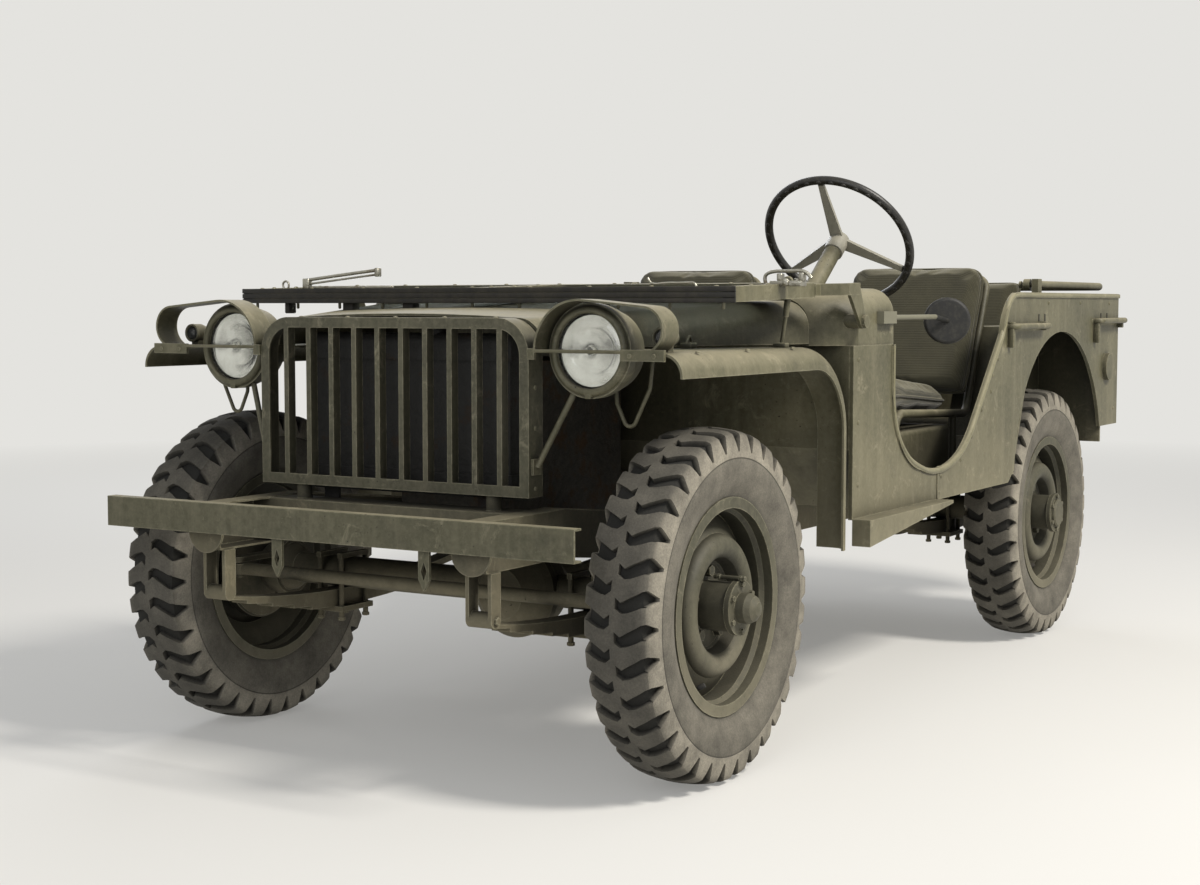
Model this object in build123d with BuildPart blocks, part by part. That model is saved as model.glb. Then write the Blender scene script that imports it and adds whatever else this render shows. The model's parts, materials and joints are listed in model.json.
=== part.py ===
from build123d import *
import os
from math import cos, sin, radians, sqrt

os.makedirs("parts", exist_ok=True)

# Light open army 4x4 car with a folding windshield, in millimetres.
# The nose points to -Y, +X is the car's left side, and the ground is at z = 0.
# A place along the car is written as its distance behind the front axle, turned to y by back().

# Wheels, axles and steering
front_axle_y = -1105.0
wheelbase = 2019.0
track = 1184.0
tyre_radius = 359.0
tyre_half_width = 76.0
tyre_wall = 13.0
lug_height = 15.0
lug_count = 24
lug_half_length = 19.4
bead_seat_radius = 203.0
rim_half_width = 57.0
rim_flange_radius = 221.0
rim_sheet = 4.0
disc_sheet = 6.0
hub_radius = 50.0
hub_length = 88.0
hub_nose_radius = 31.0
hub_reach = 130.0
rear_cap_reach = 98.0
stud_circle_radius = 69.85
stud_radius = 6.0
nut_radius = 12.0
nut_height = 14.0
drum_radius = 125.0
spindle_radius = 20.0
running_gap = 0.3
kingpin_x = 500.0
kingpin_ball_radius = 58.0
knuckle_wall = 8.0
backing_plate_radius = 121.0
steering_arm = 160.0
tie_rod_radius = 14.0
tie_rod_height = tyre_radius + 13
ball_pin_radius = 8.0
axle_tube_radius = 35.0
diff_x = 165.0
diff_cover_radius = 100.0
diff_cover_depth = 112.0
pinion_reach = 178.0
propshaft_radius = 25.0
spring_x = 335.0
spring_width = 44.0
leaf_thickness = 7.5
spring_curve_radius = 2600.0
spring_eye_radius = 16.0

# Frame and bumpers
rail_x = 335.0
rail_width = 50.0
rail_sheet = 4.0
bumper_half_length = 584.0
bumper_face = -476.0
bumper_low = 496.0
bumper_high = 559.0
bumper_sheet = 4.0
bumper_depth = 25.0
rear_beam_back = 2560.0
rear_beam_low = 495.0
rear_beam_high = 585.0

# Body
body_half_width = 686.0
body_wall = 10.0
sill_z = 483.0
rail_top_z = 990.0
body_rear = 2600.0
body_rear_low = 590.0
floor_z = 507.0
rear_floor_z = 600.0
fender_top_z = 872.0
fender_roll = 45.0
fender_sheet = 5.0
fender_front = -257.0
fender_back = 531.0
fender_low_z = 419.0
fender_corner = 190.0
arch_centre_back = 2027.0
arch_centre_z = 481.0
arch_radius = 405.0
cowl_front = 480.0
cowl_back = 765.0
cowl_half_width = body_half_width - 3
cowl_top_z = 1009.0
hood_front = -205.0
hood_front_half_width = 343.0
hood_back_half_width = 600.0
hood_front_z = 937.0
hood_back_z = 972.0
hood_low_z = fender_top_z + 4
hood_sheet = 5.0

# Grille, radiator and lamps
grille_face = -258.0
grille_half_width = 343.0
grille_low_z = 583.0
grille_corner = 75.0
grille_band = 22.0
grille_depth = 50.0
grille_bar = 12.0
grille_bar_depth = 22.0
grille_bar_count = 10
grille_bar_pitch = 60.8
lamp_x = 457.0
lamp_back = -210.0
lamp_z = 873.0
lamp_lens_radius = 74.0
lamp_shell_radius = 93.0
lamp_cutout_radius = 98.0
lamp_rear = -97.0
marker_x = 604.0
marker_z = 900.0
marker_radius = 20.0

# Windshield, bow and seats
windshield_half_width = 651.0
windshield_pivot_back = 545.0
windshield_pivot_z = 926.0
windshield_slope = 1.7
windshield_top = 516.0
windshield_bottom = 112.0
windshield_low = 57.0
windshield_thickness = 32.0
pane_thickness = 5.0
bow_x = body_half_width - 46
bow_pivot_back = 1850.0
bow_z = rail_top_z + 30
bow_cross_back = 2588.0
bow_radius = 12.0
steering_x = 355.0
steering_back = 1185.0
steering_z = 1127.0
steering_tilt = 38.0
steering_rim_radius = 192.0
steering_grip = 11.0
column_radius = 22.0
seat_x = 356.0
seat_half_width = 200.0
seat_tube = 11.0


def back(distance):
    """y of a place that lies this far behind the front axle."""
    return front_axle_y + distance


def side_plane(x):
    """Sketch plane for a side view: its axes run along y and z, and it extrudes towards +X."""
    return Plane.YZ.offset(x)


def front_plane(y):
    """Sketch plane for a front view: its axes run along x and z, and it extrudes towards -Y."""
    return Plane.XZ.offset(-y)


def keep(builder, label):
    """Name a finished piece and write it to its own file."""
    builder.part.label = label
    export_step(builder.part, "parts/" + label + ".step")
    return builder.part


def side_outline(points):
    """Points given as (distance behind the front axle, height) in a side view's own axes."""
    return [(back(distance), height) for distance, height in points]


def tube(points, radius, bend=0.0):
    """A round bar along a route of straight runs; every corner has the same bend radius."""
    with BuildPart() as bar:
        with BuildLine() as route:
            if len(points) > 2:
                FilletPolyline(*points, radius=bend)
            else:
                Line(*points)
        with BuildSketch(Plane(origin=route.line @ 0, z_dir=route.line % 0)):
            Circle(radius)
        sweep(path=route.line)
    return bar.part


def box_between(low, high, mode=Mode.ADD):
    """A block between two opposite corners, in the open builder."""
    size = [top - bottom for bottom, top in zip(low, high)]
    centre = [(top + bottom) / 2 for bottom, top in zip(low, high)]
    with Locations(tuple(centre)):
        Box(*size, mode=mode)


# Frame: two channel rails that open inwards, cross members, and the grille's feet
rail_outline = [(-472, 554), (-150, 554), (350, 497), (1560, 497), (1830, 575), (rear_beam_back, 585),
                (rear_beam_back, 495), (1850, 480), (1600, 397), (330, 397), (-150, 455),
                (-428, 455), (-450, 501), (-472, 501)]
# Columns: first y behind the front axle, last y, lowest z, highest z
cross_members = [(-275, -195, 470, 552), (230, 290, 430, 480), (1160, 1220, 450, 490), (1500, 1550, 425, 490),
                 (rear_beam_back - 30, rear_beam_back, rear_beam_low, rear_beam_high)]
rail_outer_x = rail_x + rail_width / 2
foot_radius = 16.0
foot_x = 245.0
gusset_radius = 46.0
gusset_back = -446.0
with BuildPart() as frame:
    for side in (-1, 1):
        with BuildSketch(side_plane(side * rail_outer_x)):
            with BuildLine():
                Polyline(*side_outline(rail_outline), close=True)
            make_face()
        extrude(amount=-side * rail_width)
        with BuildSketch(side_plane(side * (rail_outer_x - rail_sheet))):
            with BuildLine():
                Polyline(*side_outline(rail_outline), close=True)
            make_face()
            offset(amount=-rail_sheet, kind=Kind.INTERSECTION)
        extrude(amount=-side * rail_width, mode=Mode.SUBTRACT)
    for first, last, low, high in cross_members:
        box_between((-rail_outer_x + rail_sheet, back(first), low), (rail_outer_x - rail_sheet, back(last), high))
    with BuildSketch(Plane.XY.offset(cross_members[0][3])):
        with Locations((-foot_x, back(grille_face) + 22), (foot_x, back(grille_face) + 22)):
            Circle(foot_radius)
    extrude(amount=grille_low_z - cross_members[0][3])
    with BuildSketch(front_plane(back(gusset_back))):
        for x in (-rail_x, rail_x):
            with Locations((x, bumper_low)):
                Circle(gusset_radius)
            with Locations((x, bumper_low + gusset_radius)):
                Rectangle(2 * gusset_radius, 2 * gusset_radius, mode=Mode.SUBTRACT)
    extrude(amount=-6)
keep(frame, "frame")

# Front bumper: a channel that opens to the rear, with two pointed tow straps below it
tow_strap_low = 418.0
tow_strap_places = (-125.0, 240.0)
# Columns: across from the strap's middle, height above its point
tow_strap_line = [(-13, bumper_low - tow_strap_low), (-13, 22), (0, 0), (13, 22), (13, bumper_low - tow_strap_low)]
tow_slot_line = [(-7, 38), (0, 20), (7, 38), (0, 56)]
with BuildPart() as front_bumper:
    with BuildSketch(side_plane(-bumper_half_length)):
        with Locations((back(bumper_face) + bumper_depth / 2, (bumper_low + bumper_high) / 2)):
            Rectangle(bumper_depth, bumper_high - bumper_low)
        with Locations((back(bumper_face) + bumper_depth / 2 + bumper_sheet, (bumper_low + bumper_high) / 2)):
            Rectangle(bumper_depth, bumper_high - bumper_low - 2 * bumper_sheet, mode=Mode.SUBTRACT)
    extrude(amount=2 * bumper_half_length)
    for x in tow_strap_places:
        with BuildSketch(front_plane(back(bumper_face) + 16)):
            with Locations((x, tow_strap_low)):
                Polygon(*tow_strap_line, align=None)
                Polygon(*tow_slot_line, align=None, mode=Mode.SUBTRACT)
        extrude(amount=6)
keep(front_bumper, "front_bumper")

# Engine as one plain mass, the gearbox with its transfer box, and the two propeller shafts
engine_half_width = 130.0
engine_low = cross_members[1][3]
engine_top = 840.0
engine_front, engine_back = -60.0, 470.0
with BuildPart() as engine:
    box_between((-engine_half_width, back(engine_front), engine_low), (engine_half_width, back(engine_back), engine_top))
    fillet(engine.edges().filter_by(Axis.Z), 20)
keep(engine, "engine")

transfer_back = cross_members[2][0]
transfer_centre_z = 410.0
transfer_front = 960.0
gearbox_top = 490.0
bell_length = 45.0
with BuildPart() as gearbox:
    with BuildSketch(front_plane(back(engine_back))):
        with Locations((0, 500)):
            Circle(120)
    extrude(amount=-bell_length)
    box_between((-85, back(engine_back + bell_length), 415), (85, back(transfer_front), gearbox_top))
    box_between((-40, back(transfer_front), 340), (diff_x + 55, back(transfer_back), gearbox_top))
    with BuildSketch(front_plane(back(transfer_front - 20))):
        with Locations((diff_x, transfer_centre_z)):
            Circle(38)
    extrude(amount=-20)
keep(gearbox, "gearbox")

# Columns: start y behind the front axle and its z, end y and its z
shaft_ends = [(pinion_reach, tyre_radius, transfer_front - 20, transfer_centre_z),
              (transfer_back, transfer_centre_z, wheelbase - pinion_reach, tyre_radius)]
with BuildPart() as propshafts:
    for start, start_z, end, end_z in shaft_ends:
        add(tube([(diff_x, back(start + 10), start_z), (diff_x, back(end - 10), end_z)], propshaft_radius))
        for place, height, inwards in ((start, start_z, -30), (end, end_z, 30)):
            with BuildSketch(front_plane(back(place))):
                with Locations((diff_x, height)):
                    Circle(34)
            extrude(amount=inwards)
keep(propshafts, "propshafts")

# Exhaust: pipe under the right rail, silencer outside it and a short tail pipe
muffler_x = -452.0
muffler_z = 400.0
muffler_radius = 70.0
muffler_front, muffler_back = 880.0, 1330.0
tail_pipe_x = -650.0
down_pipe_x = -engine_half_width - 22
pipe_z = muffler_z - 35
with BuildPart() as exhaust:
    with BuildSketch(front_plane(back(muffler_front))):
        with Locations((muffler_x, muffler_z)):
            Circle(muffler_radius)
    extrude(amount=-(muffler_back - muffler_front))
    fillet(exhaust.edges().filter_by(GeomType.CIRCLE), 18)
    add(tube([(down_pipe_x, back(engine_back - 50), pipe_z + 195), (down_pipe_x, back(engine_back - 50), pipe_z),
              (down_pipe_x, back(muffler_front - 280), pipe_z), (muffler_x, back(muffler_front - 120), pipe_z),
              (muffler_x, back(muffler_front + 5), muffler_z - 15)], 20, bend=40))
    add(tube([(muffler_x, back(muffler_back - 5), muffler_z), (muffler_x, back(muffler_back + 90), muffler_z),
              (tail_pipe_x, back(muffler_back + 180), muffler_z - 10)], 18, bend=60))
    hanger = (muffler_front + muffler_back) / 2
    box_between((muffler_x - 8, back(hanger - 15), muffler_z + 60), (muffler_x + 8, back(hanger + 15), floor_z - body_wall))
keep(exhaust, "exhaust")


u_bolt_radius = 6.0
shackle_sheet = 8.0


def rail_bottom(distance):
    """Height of a rail's lower edge, from its own outline's lower corners."""
    lower = sorted(rail_outline[6:], key=lambda corner: corner[0])
    for (start, low), (end, high) in zip(lower, lower[1:]):
        if start <= distance <= end:
            return low + (high - low) * (distance - start) / (end - start)
    return lower[0][1]


# Leaf springs: a pack of leaves between two eyes, hung from the rails by shackle plates
def leaf_spring(x, front_eye, rear_eye, seat):
    """One spring: eyes at these distances behind the front axle, its pack under the axle at seat."""
    pack_top = tyre_radius - axle_tube_radius
    pack_low = pack_top - 5 * leaf_thickness
    bolt_x = spring_width / 2 + u_bolt_radius + 2
    bolt_y = axle_tube_radius + u_bolt_radius + 2

    def on_arc(radius, distance):
        drop = sqrt(radius ** 2 - (distance - seat) ** 2)
        return back(distance), pack_top + spring_curve_radius - drop

    with BuildPart() as spring:
        for number, cut_back in enumerate((0, 60, 140, 210, 270)):
            inner = spring_curve_radius + number * leaf_thickness
            outer = inner + leaf_thickness
            first, last = front_eye + cut_back, rear_eye - cut_back
            with BuildSketch(side_plane(x - spring_width / 2)):
                with BuildLine():
                    ThreePointArc(on_arc(inner, first), on_arc(inner, seat), on_arc(inner, last))
                    Line(on_arc(inner, last), on_arc(outer, last))
                    ThreePointArc(on_arc(outer, last), on_arc(outer, seat), on_arc(outer, first))
                    Line(on_arc(outer, first), on_arc(inner, first))
                make_face()
            extrude(amount=spring_width)
        for distance in (front_eye, rear_eye):
            eye_z = on_arc(spring_curve_radius, distance)[1] + leaf_thickness
            rail_z = min(rail_bottom(distance - spring_eye_radius), rail_bottom(distance + spring_eye_radius))
            with BuildSketch(side_plane(x - spring_width / 2 - shackle_sheet)):
                with Locations((back(distance), eye_z)):
                    Circle(spring_eye_radius)
            extrude(amount=spring_width + 2 * shackle_sheet)
            for plate_x in (x - spring_width / 2 - shackle_sheet, x + spring_width / 2):
                with BuildSketch(side_plane(plate_x)):
                    with Locations((back(distance), (eye_z + rail_z) / 2)):
                        Rectangle(2 * spring_eye_radius, rail_z - eye_z)
                extrude(amount=shackle_sheet)
        box_between((x - bolt_x - 12, back(seat) - bolt_y - 12, pack_low - 12),
                    (x + bolt_x + 12, back(seat) + bolt_y + 12, pack_low))
        for side_x in (-bolt_x, bolt_x):
            for side_y in (-bolt_y, bolt_y):
                with BuildSketch(Plane.XY.offset(pack_low - 26)):
                    with Locations((x + side_x, back(seat) + side_y)):
                        Circle(u_bolt_radius)
                extrude(amount=tyre_radius + axle_tube_radius + 2 - pack_low + 26)
            box_between((x + side_x - u_bolt_radius, back(seat) - bolt_y - u_bolt_radius,
                         tyre_radius + axle_tube_radius + running_gap),
                        (x + side_x + u_bolt_radius, back(seat) + bolt_y + u_bolt_radius,
                         tyre_radius + axle_tube_radius + 2 * u_bolt_radius))
    return spring.part


# Columns: front eye, rear eye and axle seat, as distances behind the front axle
spring_rows = [(-405.0, 470.0, 0.0), (wheelbase - 500.0, wheelbase + 480.0, wheelbase)]
with BuildPart() as springs:
    for front_eye, rear_eye, seat in spring_rows:
        for side in (-1, 1):
            add(leaf_spring(side * spring_x, front_eye, rear_eye, seat))
keep(springs, "springs")


# Axles: tube, differential bowl to the left of the middle, and the ball or flange at each end
def axle_housing(distance, cover_side):
    """Differential; cover_side is -1 where the round cover looks forward, 1 where it looks to the rear."""
    y = back(distance)
    # Columns: radius, and distance along the axis from the axle towards the pinion
    profile = [(0, -diff_cover_depth), (diff_cover_radius * 0.55, -diff_cover_depth + 12),
               (diff_cover_radius * 0.9, -60), (diff_cover_radius, -46), (diff_cover_radius, -26),
               (diff_cover_radius * 0.88, -26), (diff_cover_radius * 0.86, 30), (48, 96), (42, pinion_reach),
               (0, pinion_reach)]
    with BuildPart() as housing:
        with BuildSketch(Plane.XY.offset(tyre_radius)):
            with BuildLine():
                Polyline(*[(diff_x + radius, y - cover_side * along) for radius, along in profile[::cover_side]],
                         close=True)
            make_face()
        revolve(axis=Axis((diff_x, y, tyre_radius), (0, 1, 0)))
    return housing.part


with BuildPart() as front_axle:
    ball_meet = sqrt(kingpin_ball_radius ** 2 - axle_tube_radius ** 2)
    y = back(0)
    with BuildSketch(Plane.XY.offset(tyre_radius)):
        with BuildLine():
            end_x = kingpin_x + kingpin_ball_radius
            Line((-end_x, y), (end_x, y))
            ThreePointArc((end_x, y), (kingpin_x, y + kingpin_ball_radius), (kingpin_x - ball_meet, y + axle_tube_radius))
            Line((kingpin_x - ball_meet, y + axle_tube_radius), (-kingpin_x + ball_meet, y + axle_tube_radius))
            ThreePointArc((-kingpin_x + ball_meet, y + axle_tube_radius), (-kingpin_x, y + kingpin_ball_radius),
                          (-end_x, y))
        make_face()
    revolve(axis=Axis((0, y, tyre_radius), (1, 0, 0)))
    add(axle_housing(0, -1))
keep(front_axle, "front_axle")

backing_plate_x = kingpin_x + kingpin_ball_radius + running_gap + knuckle_wall + 4
with BuildPart() as rear_axle:
    with BuildSketch(side_plane(-backing_plate_x)):
        with Locations((back(wheelbase), tyre_radius)):
            Circle(axle_tube_radius)
    extrude(amount=2 * backing_plate_x)
    add(axle_housing(wheelbase, 1))
    for side in (-1, 1):
        with BuildSketch(side_plane(side * (backing_plate_x - 4))):
            with Locations((back(wheelbase), tyre_radius)):
                Circle(backing_plate_radius)
        extrude(amount=side * 4)
        with BuildSketch(side_plane(side * backing_plate_x)):
            with Locations((back(wheelbase), tyre_radius)):
                Circle(spindle_radius)
        extrude(amount=side * 60)
keep(rear_axle, "rear_axle")

# Steering knuckles: a shell round the ball, brake backing plate, spindle and a straight arm
steering_arm_low = tie_rod_height + tie_rod_radius + 1
steering_arm_sheet = 12.0
cap_radius = 28.0
cap_reach = 88.0
kingpin = (kingpin_x, back(0), tyre_radius)
with BuildPart() as knuckle_left:
    with Locations(kingpin):
        Sphere(kingpin_ball_radius + running_gap + knuckle_wall)
        Cylinder(cap_radius, 2 * cap_reach)
    with BuildSketch(Plane.XY.offset(steering_arm_low)):
        with Locations((kingpin_x, back(0) - steering_arm / 2)):
            SlotOverall(steering_arm + 40, 32, rotation=90)
    extrude(amount=steering_arm_sheet)
    with BuildSketch(side_plane(backing_plate_x - 4)):
        with Locations((back(0), tyre_radius)):
            Circle(backing_plate_radius)
    extrude(amount=4)
    with BuildSketch(side_plane(kingpin_x + kingpin_ball_radius + 2)):
        with Locations((back(0), tyre_radius)):
            Circle(spindle_radius)
    extrude(amount=backing_plate_x + 60 - kingpin_x - kingpin_ball_radius - 2)
    with Locations(kingpin):
        Sphere(kingpin_ball_radius + running_gap, mode=Mode.SUBTRACT)
    with Locations((kingpin_x - 70, back(0), tyre_radius)):
        Box(100, 140, 140, mode=Mode.SUBTRACT)
    with BuildSketch(Plane.XY.offset(tie_rod_height - tie_rod_radius - 6)):
        with Locations((kingpin_x, back(0) - steering_arm)):
            Circle(ball_pin_radius)
    extrude(amount=steering_arm_low - tie_rod_height + tie_rod_radius + 6)
keep(knuckle_left, "knuckle_left")
with BuildPart() as knuckle_right:
    mirror(knuckle_left.part, about=Plane.YZ)
keep(knuckle_right, "knuckle_right")

# Tie rod with an eye at each end round the arms' pins
with BuildPart() as tie_rod:
    add(tube([(-kingpin_x + 10, back(0) - steering_arm, tie_rod_height),
              (kingpin_x - 10, back(0) - steering_arm, tie_rod_height)], tie_rod_radius))
    with Locations((-kingpin_x, back(0) - steering_arm, tie_rod_height),
                   (kingpin_x, back(0) - steering_arm, tie_rod_height)):
        Cylinder(19, 2 * tie_rod_radius - 4)
        Cylinder(ball_pin_radius + running_gap, 4 * tie_rod_radius, mode=Mode.SUBTRACT)
keep(tie_rod, "tie_rod")


# Wheels: rim, domed disc, hub with its long nose, and brake drum, all turned round one axis
def wheel_axes(side, distance):
    """Plane whose x runs outwards along a wheel's axle from the middle of the tyre."""
    return Plane(origin=(side * track / 2, back(distance), tyre_radius), x_dir=(side, 0, 0), z_dir=(0, -1, 0))


rim_well = 196.0
rim_outline = [(-rim_half_width - rim_sheet, rim_flange_radius), (-rim_half_width, rim_flange_radius),
               (-rim_half_width, bead_seat_radius), (-38, bead_seat_radius), (-30, rim_well), (30, rim_well),
               (38, bead_seat_radius), (rim_half_width, bead_seat_radius), (rim_half_width, rim_flange_radius),
               (rim_half_width + rim_sheet, rim_flange_radius), (rim_half_width + rim_sheet, 198), (41, 198),
               (32, rim_well - 5), (-32, rim_well - 5), (-41, 198), (-rim_half_width - rim_sheet, 198)]
mount_face = 8.0
mount_radius = 86.0
wheel_centre_hole = 46.0
bore = spindle_radius + running_gap
drum_start = backing_plate_x - track / 2 + 1
# Columns: end of the car, distance behind the front axle, corners of the hub's cap as (along the axle, radius)
wheel_rows = [("front", 0.0, [(hub_reach, 0), (hub_reach - 3, 14), (hub_reach - 11, 25), (hub_reach - 23, hub_nose_radius)]),
              ("rear", wheelbase, [(rear_cap_reach, 0), (rear_cap_reach, 36), (rear_cap_reach - 4, 40)])]
# Columns: place along the axle, circle they stand on, how many, radius, height
bolt_rows = [(mount_face, stud_circle_radius, 5, nut_radius, nut_height), (hub_length, 48.0, 6, stud_radius, stud_radius)]


def hub_outline(cap):
    """Half section of hub, mounting disc and brake drum, with this cap on the hub's outer end."""
    return [(drum_start, bore), (hub_length, bore), (hub_length, 0)] + cap + [
        (hub_length, cap[-1][1]), (hub_length, hub_radius + 6), (hub_length - 12, hub_radius + 6),
        (hub_length - 12, hub_radius), (mount_face, hub_radius), (mount_face - disc_sheet, mount_radius),
        (mount_face - disc_sheet, drum_radius), (drum_start, drum_radius), (drum_start, drum_radius - 7),
        (mount_face - disc_sheet - 7, drum_radius - 7), (mount_face - disc_sheet - 7, hub_radius), (drum_start, hub_radius)]


for end, distance, cap in wheel_rows:
    for side, hand in ((1, "left"), (-1, "right")):
        plane = wheel_axes(side, distance)
        with BuildPart() as wheel:
            with BuildSketch(plane):
                with BuildLine():
                    Polyline(*rim_outline, close=True)
                make_face()
                with BuildLine():
                    Line((-6, rim_well - 4), (26, 146))
                    ThreePointArc((26, 146), (50, 118), (38, 98))
                    Line((38, 98), (12, 91))
                    Line((12, 91), (mount_face, mount_radius))
                    Line((mount_face, mount_radius), (mount_face, wheel_centre_hole))
                    Line((mount_face, wheel_centre_hole), (mount_face - disc_sheet, wheel_centre_hole))
                    Line((mount_face - disc_sheet, wheel_centre_hole), (mount_face - disc_sheet, 90))
                    Line((mount_face - disc_sheet, 90), (8, 97))
                    Line((8, 97), (34, 104))
                    ThreePointArc((34, 104), (43.5, 119), (21, 142))
                    Line((21, 142), (-13, rim_well - 6))
                    Line((-13, rim_well - 6), (-6, rim_well - 4))
                make_face()
                with BuildLine():
                    Polyline(*hub_outline(cap), close=True)
                make_face()
            revolve(axis=Axis(plane.origin, (1, 0, 0)))
            for along, circle, count, radius, height in bolt_rows:
                with BuildSketch(Plane(origin=(side * (track / 2 + along), back(distance), tyre_radius),
                                       x_dir=(0, 0, 1), z_dir=(side, 0, 0))):
                    with PolarLocations(circle, count):
                        RegularPolygon(radius, 6)
                extrude(amount=height)
        keep(wheel, "wheel_" + end + "_" + hand)

# Tyres: a hollow carcass whose beads sit in the rim, and bars across each half of the tread
tread_radius = tyre_radius - lug_height
# Columns: distance from the tyre's middle, radius
carcass_outside = [(rim_half_width, 222), (tyre_half_width, 288), (56, tread_radius)]
carcass_inside = [(44, bead_seat_radius - 5), (tyre_half_width - tyre_wall, 285), (50, tread_radius - tyre_wall - 8)]
lug_line = [(7, tread_radius - 4), (7, tyre_radius), (64, tyre_radius - 5), (70, 298), (52, tread_radius - 6)]
lug_pitch = 360 / lug_count


def ring(half_line, sides):
    """A many-sided ring round X through these steps and their mirror images."""
    with BuildPart() as body:
        for across, radius in [(-a, r) for a, r in half_line] + half_line[::-1]:
            with BuildSketch(side_plane(across)):
                RegularPolygon(radius, sides, major_radius=False)
        loft(ruled=True)
    return body.part


with BuildPart() as carcass:
    add(ring(carcass_outside, lug_count))
    add(ring(carcass_inside, lug_count // 2), mode=Mode.SUBTRACT)
    with BuildSketch(side_plane(-rim_half_width)):
        RegularPolygon(bead_seat_radius, lug_count // 2, major_radius=False)
    extrude(amount=2 * rim_half_width, mode=Mode.SUBTRACT)
    lugs = []
    for hand in (1, -1):
        with BuildPart(mode=Mode.PRIVATE) as lug:
            with BuildSketch(front_plane(lug_half_length)):
                with BuildLine():
                    Polyline(*[(hand * across, radius) for across, radius in lug_line], close=True)
                make_face()
            extrude(amount=2 * lug_half_length)
        lugs += [lug.part.rotate(Axis.X, (number + 0.25 * hand) * lug_pitch) for number in range(lug_count)]
    add(lugs)
standing = carcass.part.rotate(Axis.X, -0.25 * lug_pitch)
for end, distance, cap in wheel_rows:
    for turn, side, hand in ((0, 1, "left"), (180, -1, "right")):
        with BuildPart() as tyre:
            with Locations(Location((side * track / 2, back(distance), tyre_radius), (0, 0, turn))):
                add(standing)
        keep(tyre, "tyre_" + end + "_" + hand)


# Radiator guard: a rounded surround flanged back to the hood, with upright flat bars
def guard_outline(inset):
    """Front view of the guard, this far inside its outer edge, with the two upper corners rounded."""
    with BuildSketch() as outline:
        with BuildLine():
            half = grille_half_width - inset
            low, high, round_off = grille_low_z + inset, hood_front_z - inset, grille_corner - inset
            Line((-half, low), (half, low))
            Line((half, low), (half, high - round_off))
            RadiusArc((half, high - round_off), (half - round_off, high), -round_off)
            Line((half - round_off, high), (-half + round_off, high))
            RadiusArc((-half + round_off, high), (-half, high - round_off), -round_off)
            Line((-half, high - round_off), (-half, low))
        make_face()
    return outline.sketch


guard_sheet = 4.0
guard_back = grille_face + grille_depth
with BuildPart() as grille:
    with BuildSketch(front_plane(back(guard_back))):
        add(guard_outline(0))
    extrude(amount=grille_depth)
    with BuildSketch(front_plane(back(guard_back))):
        add(guard_outline(guard_sheet))
    extrude(amount=grille_depth - guard_sheet, mode=Mode.SUBTRACT)
    with BuildSketch(front_plane(back(guard_back))):
        add(guard_outline(grille_band))
    extrude(amount=grille_depth, mode=Mode.SUBTRACT)
    with BuildSketch(front_plane(back(grille_face) + grille_bar_depth)):
        with Locations((0, (grille_low_z + hood_front_z) / 2)):
            with GridLocations(grille_bar_pitch, 1, grille_bar_count, 1):
                Rectangle(grille_bar, hood_front_z - grille_low_z - 2 * grille_band + 2)
    extrude(amount=grille_bar_depth)
keep(grille, "grille")

# Radiator: core between two tanks, with its filler neck, standing on the front cross member
radiator_half_width = 255.0
radiator_front, radiator_back = -200.0, -140.0
core_low, core_high = 620.0, 850.0
radiator_top = 905.0
with BuildPart() as radiator:
    box_between((-radiator_half_width, back(radiator_front) + 8, core_low),
                (radiator_half_width, back(radiator_back) - 8, core_high))
    for low, high in ((cross_members[0][3] + 20, core_low), (core_high, radiator_top)):
        box_between((-radiator_half_width - 8, back(radiator_front), low),
                    (radiator_half_width + 8, back(radiator_back), high))
    fillet(radiator.edges().filter_by(Axis.X).group_by(Axis.Z)[-1], 20)
    with BuildSketch(Plane.XY.offset(radiator_top - 5)):
        with Locations((60, back(radiator_front) + 30)):
            Circle(22)
    extrude(amount=22)
    for x in (-200, 200):
        box_between((x - 20, back(radiator_front), cross_members[0][3]), (x + 20, back(-195), cross_members[0][3] + 21))
keep(radiator, "radiator")


# Hood: one sheet lofted from the guard's rounded outline to the wider cowl
def hood_section(half_width, top, crown, corner, inset, low):
    """Front view of the hood's outline at one place along the car."""
    half = half_width - inset
    high = top - inset
    with BuildSketch() as section:
        with BuildLine():
            Line((-half, low), (half, low))
            Line((half, low), (half, high - corner))
            RadiusArc((half, high - corner), (half - corner, high), -corner)
            ThreePointArc((half - corner, high), (0, high + crown), (-half + corner, high))
            RadiusArc((-half + corner, high), (-half, high - corner), -corner)
            Line((-half, high - corner), (-half, low))
        make_face()
    return section.sketch


hood_corner = 60.0
hood_crown = 8.0
# Columns: distance behind the front axle, half-width, top
hood_ends = [(hood_front, hood_front_half_width, hood_front_z), (cowl_front, hood_back_half_width, hood_back_z)]
with BuildPart() as hood:
    for inset, low, mode in ((0, hood_low_z, Mode.ADD), (hood_sheet, hood_low_z - 20, Mode.SUBTRACT)):
        for distance, half_width, top in hood_ends:
            with BuildSketch(front_plane(back(distance))):
                add(hood_section(half_width, top, hood_crown, hood_corner - inset, inset, low))
        loft(mode=mode)
keep(hood, "hood")

# Cowl: widens behind the hood to the body's width, closed in front, with the instrument panel inside
cowl_low_z = fender_top_z
cowl_full = 563.0
dash_sheet = 8.0
dash_back = cowl_back - dash_sheet
pivot_boss_radius = 16.0
pivot_pin_radius = 6.0
arm_inner_x = body_half_width + 9
arm_sheet = 8.0
cowl_rear_top = cowl_top_z - hood_crown
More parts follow.
